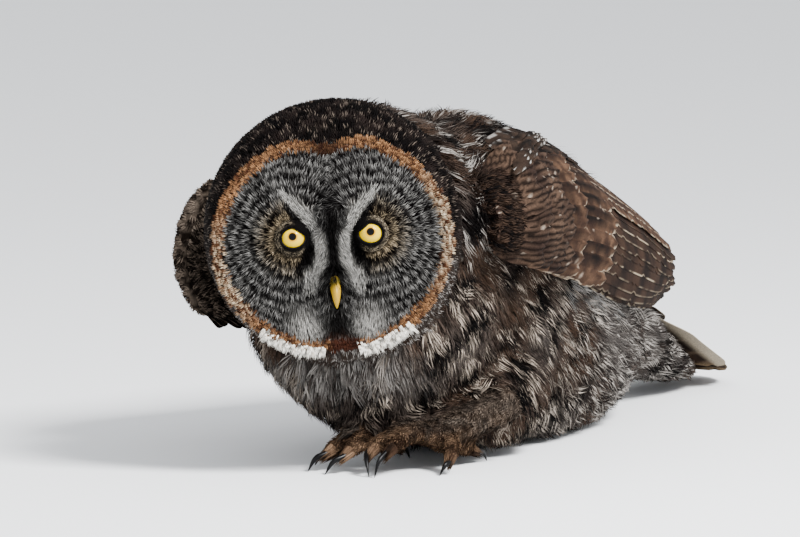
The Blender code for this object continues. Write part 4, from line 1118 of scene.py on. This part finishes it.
def tier(made, side, count, half_width, s_root, t_roots, tips, heights, paint, rooted=False, **form):
    """Adds one row of feathers from the wing's lower edge up."""
    for share in np.linspace(0, 1, count):
        jitter = rng.normal(0, 1, 3)
        t_root = between(*t_roots, share)
        root = s_root + 0.008 * jitter[0], t_root
        tip_s, tip_t = (between(*pair, share) for pair in zip(*tips))
        tip = tip_s + 0.012 * jitter[1], tip_t + 0.01 * jitter[2]
        height = between(*heights, share)
        start = wing_flesh(max(0.012, s_root), t_root)[0] - 2.5 if rooted else height - 2.0
        made.append(wing_vane(side, root, tip, half_width, (start, height), paint, **form))


for side, name in ((1, "left"), (-1, "right")):
    plumes("wing_plumes_" + name, flight_plumes(side))
    plumes("covert_plumes_" + name, covert_plumes(side))


def wing_lie(points):
    """Outwards round the front of the wing, then back along it."""
    outwards = 0.9 * np.sign(points[:, 0]) * smooth(60, 10, points[:, 1])
    return np.stack([outwards, np.ones(len(points)), np.full(len(points), -0.15)], axis=-1)


def paint_wing_front(points, across, along):
    """Dark at the very front, where the neck's feathers lie over it, then as the small coverts."""
    back = paint_small_covert(across, along, 10, np.broadcast_to(points, (*along.shape, 3)))
    dark = mix(BLACK, BROWN, 0.3 + 0.4 * ripple(points, 3, 57) + 0.3 * across)
    return mix(back * 0.8, dark, np.broadcast_to(smooth(34, 14, points[..., 1]) * smooth(-60, -20, points[..., 0]), along.shape))


wing_roots = spots(2.7, lambda points, kind: of_kind("wing")(points, kind) & (points[:, 1] < 120))
front = np.where(wing_roots[0][:, 0] < 0, 42, 34)
keep = (wing_roots[0][:, 1] < front) | (rng.random(len(wing_roots[0])) < 0.25)
wing_roots = tuple(part[keep] for part in wing_roots)
coat(
    "wing_front_coat", wing_roots, wing_lie(wing_roots[0]), 9.0, 2.0, 1.8, 3,
    paint_wing_front,
)


def tail_vane(sign, root, tip, half_width, heights, paint, central, **form):
    """One feather of the tail; root and tip are y and the distance from the midline."""
    (y0, u0), (y1, u1) = root, tip
    length = math.hypot(y1 - y0, 0.45 * (y1 - y0))

    def place(share, across, height):
        middle = u0 + (u1 - u0) * share
        inner = across if central else np.maximum(across, 0.6 - middle)
        return tail_place(y0 + (y1 - y0) * share, sign * (middle + inner), height)

    return vane(place, length, half_width, heights, paint, **form)


def paint_outer_tail(across, share, length, places):
    """The outermost feathers have a broad beige outer web."""
    return mix(paint_tail(across, share, length, places), srgb("ffedd0"), smooth(0.0, 0.25, across) * np.full_like(share, 0.92))


def paint_tail(across, share, length, places):
    """Dark brown with mottled paler bars and thin pale edges; the beige outer web of the outermost comes from
    paint_outer_tail.
    """
    bars = np.sin(share * length / 24 * 2 * math.pi + 0.7 * ripple(places, 9, 51))
    colour = mix(srgb("33261f"), srgb("544034"), 0.5 + 0.5 * ripple(places, 6, 52))
    colour = mix(colour, srgb("8d7763"), smooth(0.35, 0.9, bars) * 0.75)
    edge = smooth(0.86, 0.96, np.abs(across)) * np.ones_like(share)
    colour = mix(colour, srgb("cbb999"), edge * 0.35)
    return mix(colour, srgb("c9ab87"), smooth(0.95, 0.99, share + 0.02 * np.abs(across)) * 0.7)


TAIL_TIPS = (554, 551, 545, 537, 526, 510)
tail_plumes = []
for sign in (1, -1):
    for i, tip in enumerate(TAIL_TIPS):
        height = -1.1 * (0 if i == 0 and sign > 0 else i + 1)
        ends = (412, 1.5 + 4.4 * i), (tip, 2 + 5.4 * i)
        paint = paint_outer_tail if i == 5 else paint_tail
        tail_plumes.append(tail_vane(sign, *ends, 17.0, (height - 2, height), paint, i == 0, point=0.8, ragged=0.04))
    for i in range(5):
        ends = (372 + 3 * i, 2 + 5 * i), (450 - 7 * i, 3 + 6.5 * i)
        tail_plumes.append(tail_vane(sign, *ends, 9.0, (-3.0 - 2.2 * i, 1.8 - 2.2 * i), paint_tail, False, point=0.6))
plumes("tail_plumes", tail_plumes)

# Markings of the skin.
# The skin carries the coat's own colours at half brightness, as painted shade under the coat, so that no bare place
# shows through.
roots_along, roots_across = np.full(len(skin_points), 0.4), np.zeros(len(skin_points))
skin_shades = paint_body(skin_points, roots_across, roots_along)
for part, paint in (("head", paint_head), ("feet", paint_foot), ("wing", paint_wing_front)):
    here = (skin_kind == kinds.index(part))[:, None]
    skin_shades = np.where(here, paint(skin_points, roots_across, roots_along), skin_shades)
skin_shades = np.where(is_face(skin_points)[:, None], paint_face(skin_points, roots_across, roots_along), skin_shades)
layer = skin_mesh.color_attributes.new("Plumage", "FLOAT_COLOR", "POINT")
# Half brightness: painted shade under the coat.
skin_shades = np.hstack([np.clip(skin_shades, 0, 1) * 0.5, np.ones((len(skin_points), 1))])
layer.data.foreach_set("color", skin_shades.astype(np.float32).ravel())

# Eyes.
# Clear yellow eyes with small pupils, wet and deep-set, that look at the camera from under black lids.
LOOK = unit(view_back + 0.11 * view_up)


def ball_frame(look):
    side = unit(np.cross((0, 0, 1), look))
    return side, np.cross(look, side), look


def plain_bake(count):
    """Bake places on a simple spiral, one for each point of a small piece."""
    share = np.arange(count) / count
    return np.stack([0.5 + 0.45 * share * np.cos(share * 60), 0.5 + 0.45 * share * np.sin(share * 60)], -1)


EYE = bpy.data.materials.new("wet_yellow_eye")
EYE.use_nodes = True
shader = EYE.node_tree.nodes["Principled BSDF"]
shader.inputs["Roughness"].default_value = 0.12
shader.inputs["Specular IOR Level"].default_value = 0.1
shader.inputs["Coat Weight"].default_value = 0.15
shader.inputs["Coat Roughness"].default_value = 0.03
painted = EYE.node_tree.nodes.new("ShaderNodeVertexColor")
painted.layer_name = "Plumage"
EYE.node_tree.links.new(painted.outputs["Color"], shader.inputs["Base Color"])
LID = plumage_material("black_lid", 0.2, 0.5, 0.1)
OPENING_WIDE, OPENING_TALL, LID_RADIUS, LID_SLANT = 7.4, 6.4, 10.4, math.radians(50)


def lid_edge(side, angle):
    """The angle of the lid's edge from the middle of the eye; a slanting brow cuts it above the bill."""
    opening = OPENING_WIDE * OPENING_TALL / np.hypot(OPENING_TALL * np.cos(angle), OPENING_WIDE * np.sin(angle))
    inward = -side * np.cos(angle)
    cut = 5.5 / np.maximum(0.2, math.cos(LID_SLANT) * inward + math.sin(LID_SLANT) * np.sin(angle))
    opening = np.minimum(opening, cut) * (1 + 0.12 * np.maximum(0, inward) ** 6)
    return np.arcsin(np.minimum(0.97, opening / LID_RADIUS))


def paint_fringe(points, across, along):
    """Like the face, but pale from nearer the root, and brownish on the outer side of the eye."""
    u, v, w = to_face(points)
    away = np.hypot(np.abs(u) - EYE_SIDEWAYS, v - EYE_UP)
    inner = np.maximum(near_line(u, v, EYE_PATCH), smooth(9.4, 8.6, away + 2 * along))
    light = 0.12 + 0.4 * ripple(points, 1.3, 24) + 0.25 * across + 0.6 * (along - 0.3)
    return mix(mix(BLACK, srgb("b9a98f"), light), BLACK, inner)


def eye_fringe(side):
    """Middle lines of the short filaments that grow over the lids and outwards from the eye."""
    rows = []
    for start, long in ((0.05, 0.1), (0.1, 0.14), (0.16, 0.2), (0.24, 0.26), (0.34, 0.32), (0.46, 0.36), (0.6, 0.36)):
        angle = np.linspace(0, 2 * math.pi, 110, endpoint=False) + rng.normal(0, 0.02, 110)
        along = np.array((0.0, 0.34, 0.67, 1.0))
        at = (lid_edge(side, angle) + start + rng.normal(0, 0.02, 110))[:, None] + long * along
        reach = 10.9 + 2.2 * along * (1.3 - along) + start
        spread = np.cos(angle)[:, None] * FACE_SIDE + np.sin(angle)[:, None] * FACE_UP
        ups = FACE_OUT * np.cos(at)[..., None] + spread[:, None] * np.sin(at)[..., None]
        middle = eye_centre(side) + ups * reach[:, None]
        turn = np.broadcast_to(np.cross(FACE_OUT, spread)[:, None], middle.shape)
        _, _, triangle, _ = nearest(skin_tree, middle[:, 0])
        rows.append((middle[:, 0], middle, ups, turn, skin_uv[triangle].mean(axis=1)))
    return [np.concatenate([row[i] for row in rows]) for i in range(5)]


for side, name in ((1, "left"), (-1, "right")):
    right, up, look = ball_frame(LOOK)
    centre = eye_centre(side)
    polar = np.radians(np.concatenate([np.linspace(1.5, 60, 48), np.linspace(66, 174, 14)]))
    angle = np.linspace(0, 2 * math.pi, 96, endpoint=False)
    radius = EYE_RADIUS * (1 + 0.045 * smooth(48, 18, np.degrees(polar)))
    ring = right * np.cos(angle)[:, None] + up * np.sin(angle)[:, None]
    points = centre + (look * np.cos(polar)[:, None, None] + ring * np.sin(polar)[:, None, None]) * radius[:, None, None]
    from_pole = np.broadcast_to(np.degrees(polar)[:, None], points.shape[:2])
    streak = np.sin(angle * 37) * 0.4 + np.sin(angle * 61 + 1) * 0.4
    iris = mix(srgb("c08a00"), srgb("dcb800"), smooth(16, 25, from_pole) + 0.2 * streak)
    iris = mix(iris, srgb("7d5a08"), smooth(46, 56, from_pole))
    colours = mix(iris, srgb("040404"), np.maximum(smooth(16.0, 14.6, from_pole), smooth(57, 60, from_pole)))
    shape_points, shape_faces = closed_loft(points)
    shades = np.vstack([colours.reshape(-1, 3), colours[0].mean(0), colours[-1].mean(0)])
    eyeball = make_piece("eyeball_" + name, shape_points, shape_faces, shades, plain_bake(len(shape_points)), EYE)
    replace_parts(eyeball, "eye_" + name)

    angle = np.linspace(0, 2 * math.pi, 72, endpoint=False)
    profile = ((9.4, 0.0), (10.9, 0.0), (10.95, 0.5), (10.75, 0.9), (10.4, 0.98), (9.95, 1.0), (9.72, 0.96), (9.6, 0.5))
    rings = []
    for reach, share in profile:
        polar_out = math.radians(98)
        at = polar_out + (lid_edge(side, angle) - polar_out) * share
        spread = FACE_SIDE * np.cos(angle)[:, None] + FACE_UP * np.sin(angle)[:, None]
        rings.append(centre + reach * (FACE_OUT * np.cos(at)[:, None] + spread * np.sin(at)[:, None]))
    rings = np.array(rings)
    count, sides = rings.shape[:2]
    i, j = np.meshgrid(np.arange(count), np.arange(sides), indexing="ij")
    here, there = i * sides, (i + 1) % count * sides
    k = (j + 1) % sides
    faces = np.concatenate([np.stack([here + j, here + k, there + k], -1), np.stack([here + j, there + k, there + j], -1)]).reshape(-1, 3)
    points = rings.reshape(-1, 3)
    lids = make_piece("lids_" + name, points, faces, np.tile(srgb("0b0a0a"), (len(points), 1)), plain_bake(len(points)), LID)
    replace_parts(lids, "eyelids_" + name)
    strands_along("eye_fringe_" + name, eye_fringe(side), 0.85, 2, paint_fringe)

# Bill.
# A smooth hooked bill, olive at its root and yellow towards its tip.
HORN = plumage_material("bill_horn", 0.12, 0.4, 0.25, tone=0.52)
CLAW = plumage_material("black_claw", 0.2, 0.32, 0.12)
UPPER_BILL = (
    (0, -14.0, -13.0, 8.0, 9.0),
    (1, -21.0, -7.5, 7.8, 10.5),
    (2, -27.0, 1.8, 7.4, 10.0),
    (3, -33.0, 8.2, 6.0, 8.0),
    (4, -38.0, 8.2, 4.0, 5.2),
    (5, -42.5, 5.8, 1.0, 1.6),
)
LOWER_BILL = ((0, -22.0, -5.0, 7.0, 6.0), (1, -29.0, -0.5, 6.4, 5.0), (2, -35.0, 2.2, 4.0, 2.6), (3, -37.6, 3.0, 2.0, 1.0))


def bill_part(name, rows):
    steps = np.linspace(0, len(rows) - 1, 28)
    places = curve(rows, steps)
    headings = unit(np.gradient(places[:, :2], axis=0))
    across = np.stack([-headings[:, 1], headings[:, 0]], -1)
    angle = np.linspace(0, 2 * math.pi, 32, endpoint=False)
    swing = np.sin(angle) * places[:, 3:4] / 2
    pinch = 1 - 0.18 * np.maximum(0, -np.sin(angle)) ** 2
    u = places[:, 2:3] / 2 * np.cos(angle) * pinch
    points, faces = closed_loft(on_face(u, places[:, 0:1] + across[:, 0:1] * swing, places[:, 1:2] + across[:, 1:2] * swing))
    share = np.repeat(np.linspace(0, 1, 28), 32)
    share = np.concatenate([share, (0, 1)])
    colours = mix(srgb("564c16"), srgb("d6a81c"), smooth(0.35, 0.62, share + 0.08 * ripple(points, 4, 61)))
    colours = mix(colours, srgb("c9ac30"), smooth(0.85, 1.0, share) * 0.6)
    u, v, w = to_face(points)
    # The nostrils are painted black: painted shade standing for their openings.
    nostril = np.exp(-(((np.abs(u) - 3.3) / 0.55) ** 2) - ((v + 27.5) / 1.2) ** 2)
    colours = mix(colours, BLACK, 0.7 * smooth(0.2, 0.6, nostril) * smooth(3, 5, w))
    piece = make_piece(name, points, faces, colours, plain_bake(len(points)), HORN)
    return piece


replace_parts(bill_part("upper_beak", UPPER_BILL), "bill_upper")
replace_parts(bill_part("lower_beak", LOWER_BILL), "bill_lower")

# Claws.
# Eight long black claws that curve down to the ground, with a brush of feathers over each root.
# The knuckle, the toe's end and the claw's tip.
TOE_PLACES = {
    "left": {
        "inner": ((44, -24, 25), (34, -45, 15), (41, -60, 0)),
        "middle": ((55, -26, 26), (49, -48, 16), (46, -62, 0)),
        "outer": ((76, -8, 18), (81, -20, 9), (79, -32, 0)),
        "hind": ((68, 22, 13), (71, 36, 9), (74, 50, 0)),
    },
    "right": {
        "inner": ((21, -30, 20), (18, -48, 12), (9, -60, 0)),
        "middle": ((6, -25, 19), (1, -41, 12), (-8, -51, 0)),
        "outer": ((3, -8, 15), (-7, -15, 9), (-18, -21, 0)),
        "hind": ((19, 12, 12), (20, 26, 9), (22, 40, 0)),
    },
}


def toe_brush(end, ahead, tip):
    """Middle lines of the feathers that close round the root of a claw."""
    angle = np.linspace(0, 2 * math.pi, 44, endpoint=False)
    across = unit(np.cross(ahead, (0, 0, 1)))
    ring = across * np.cos(angle)[:, None] + np.cross(across, ahead) * np.sin(angle)[:, None]
    along = np.array((0.0, 0.34, 0.67, 1.0))[:, None]
    reach = rng.uniform(0.75, 1.2, 44)[:, None, None]
    line = (ahead * 8 * along + unit(tip - end) * 6 * along**2) * reach
    middle = end - ahead * 5 + ring[:, None] * 4.2 * (1 - 0.5 * along) + line
    ups = np.broadcast_to(ring[:, None], middle.shape)
    _, _, triangle, _ = nearest(skin_tree, middle[:, 0])
    return middle[:, 0], middle, ups, np.cross(unit(np.gradient(middle, axis=1)), ups), skin_uv[triangle].mean(axis=1)


brushes = []
for side, toes in TOE_PLACES.items():
    for toe, places in toes.items():
        knuckle, end, tip = (np.array(place, float) for place in places)
        ahead = unit(end - knuckle)
        brushes.append(toe_brush(end, ahead, tip))
        bend = end * 0.5 + tip * 0.5 + (0, 0, 3.5) + ahead * 2.5
        rows = [(0, *(end - ahead * 4)), (1, *(end + ahead * 2)), (2, *bend), (3, *(tip + (0, 0, 0.5)))]
        line = curve(rows, np.linspace(0, 3, 22))
        heading = unit(np.gradient(line, axis=0))
        across = unit(np.cross(heading, (0, 0, 1)))
        up = np.cross(across, heading)
        radius = 2.5 * np.interp(np.linspace(0, 1, 22), (0, 0.3, 0.6, 0.85, 1), (1.0, 0.98, 0.78, 0.4, 0.1))
        angle = np.linspace(0, 2 * math.pi, 20, endpoint=False)
        ring = across[:, None] * np.cos(angle)[:, None] * 0.85 + up[:, None] * np.sin(angle)[:, None]
        points, faces = closed_loft(line[:, None] + ring * radius[:, None, None])
        points[:, 2] = np.maximum(points[:, 2], 0.1)
        colours = np.tile(srgb("0d0c0d"), (len(points), 1))
        piece = make_piece(f"{toe}_nail_{side}", points, faces, colours, plain_bake(len(points)), CLAW)
        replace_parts(piece, f"{toe}_claw_{side}")
brush_parts = [np.concatenate([brush[i] for brush in brushes]) for i in range(5)]
strands_along("toe_brushes", brush_parts, 1.0, 2, paint_foot)

# Floor and light.
# A plain pale floor and large soft lamps, the strongest from the right and above.
bpy.ops.mesh.primitive_plane_add(size=30, location=(0, 0, 0))
floor = bpy.context.object
floor.name = "floor"
pale = bpy.data.materials.new("pale_floor")
pale.use_nodes = True
pale.node_tree.nodes["Principled BSDF"].inputs["Base Color"].default_value = (0.86, 0.87, 0.88, 1)
pale.node_tree.nodes["Principled BSDF"].inputs["Roughness"].default_value = 0.9
floor.data.materials.append(pale)
world = bpy.data.worlds.new("studio")
world.use_nodes = True
world.node_tree.nodes["Background"].inputs["Color"].default_value = (0.90, 0.92, 0.95, 1)
world.node_tree.nodes["Background"].inputs["Strength"].default_value = 1.35
bpy.context.scene.world = world
LAMPS = {
    "key": ((1.6, -0.7, 1.8), 0.7, 190),
    "fill": ((-1.8, -2.2, 1.2), 1.6, 10),
}
for name, (place, size, power) in LAMPS.items():
    lamp = bpy.data.lights.new(name, "AREA")
    lamp.size = size
    lamp.energy = power
    holder = bpy.data.objects.new(name, lamp)
    bpy.context.scene.collection.objects.link(holder)
    holder.location = place
    holder.rotation_euler = (Vector(place) - Vector((0, 0, 0.1))).to_track_quat("Z", "Y").to_euler()
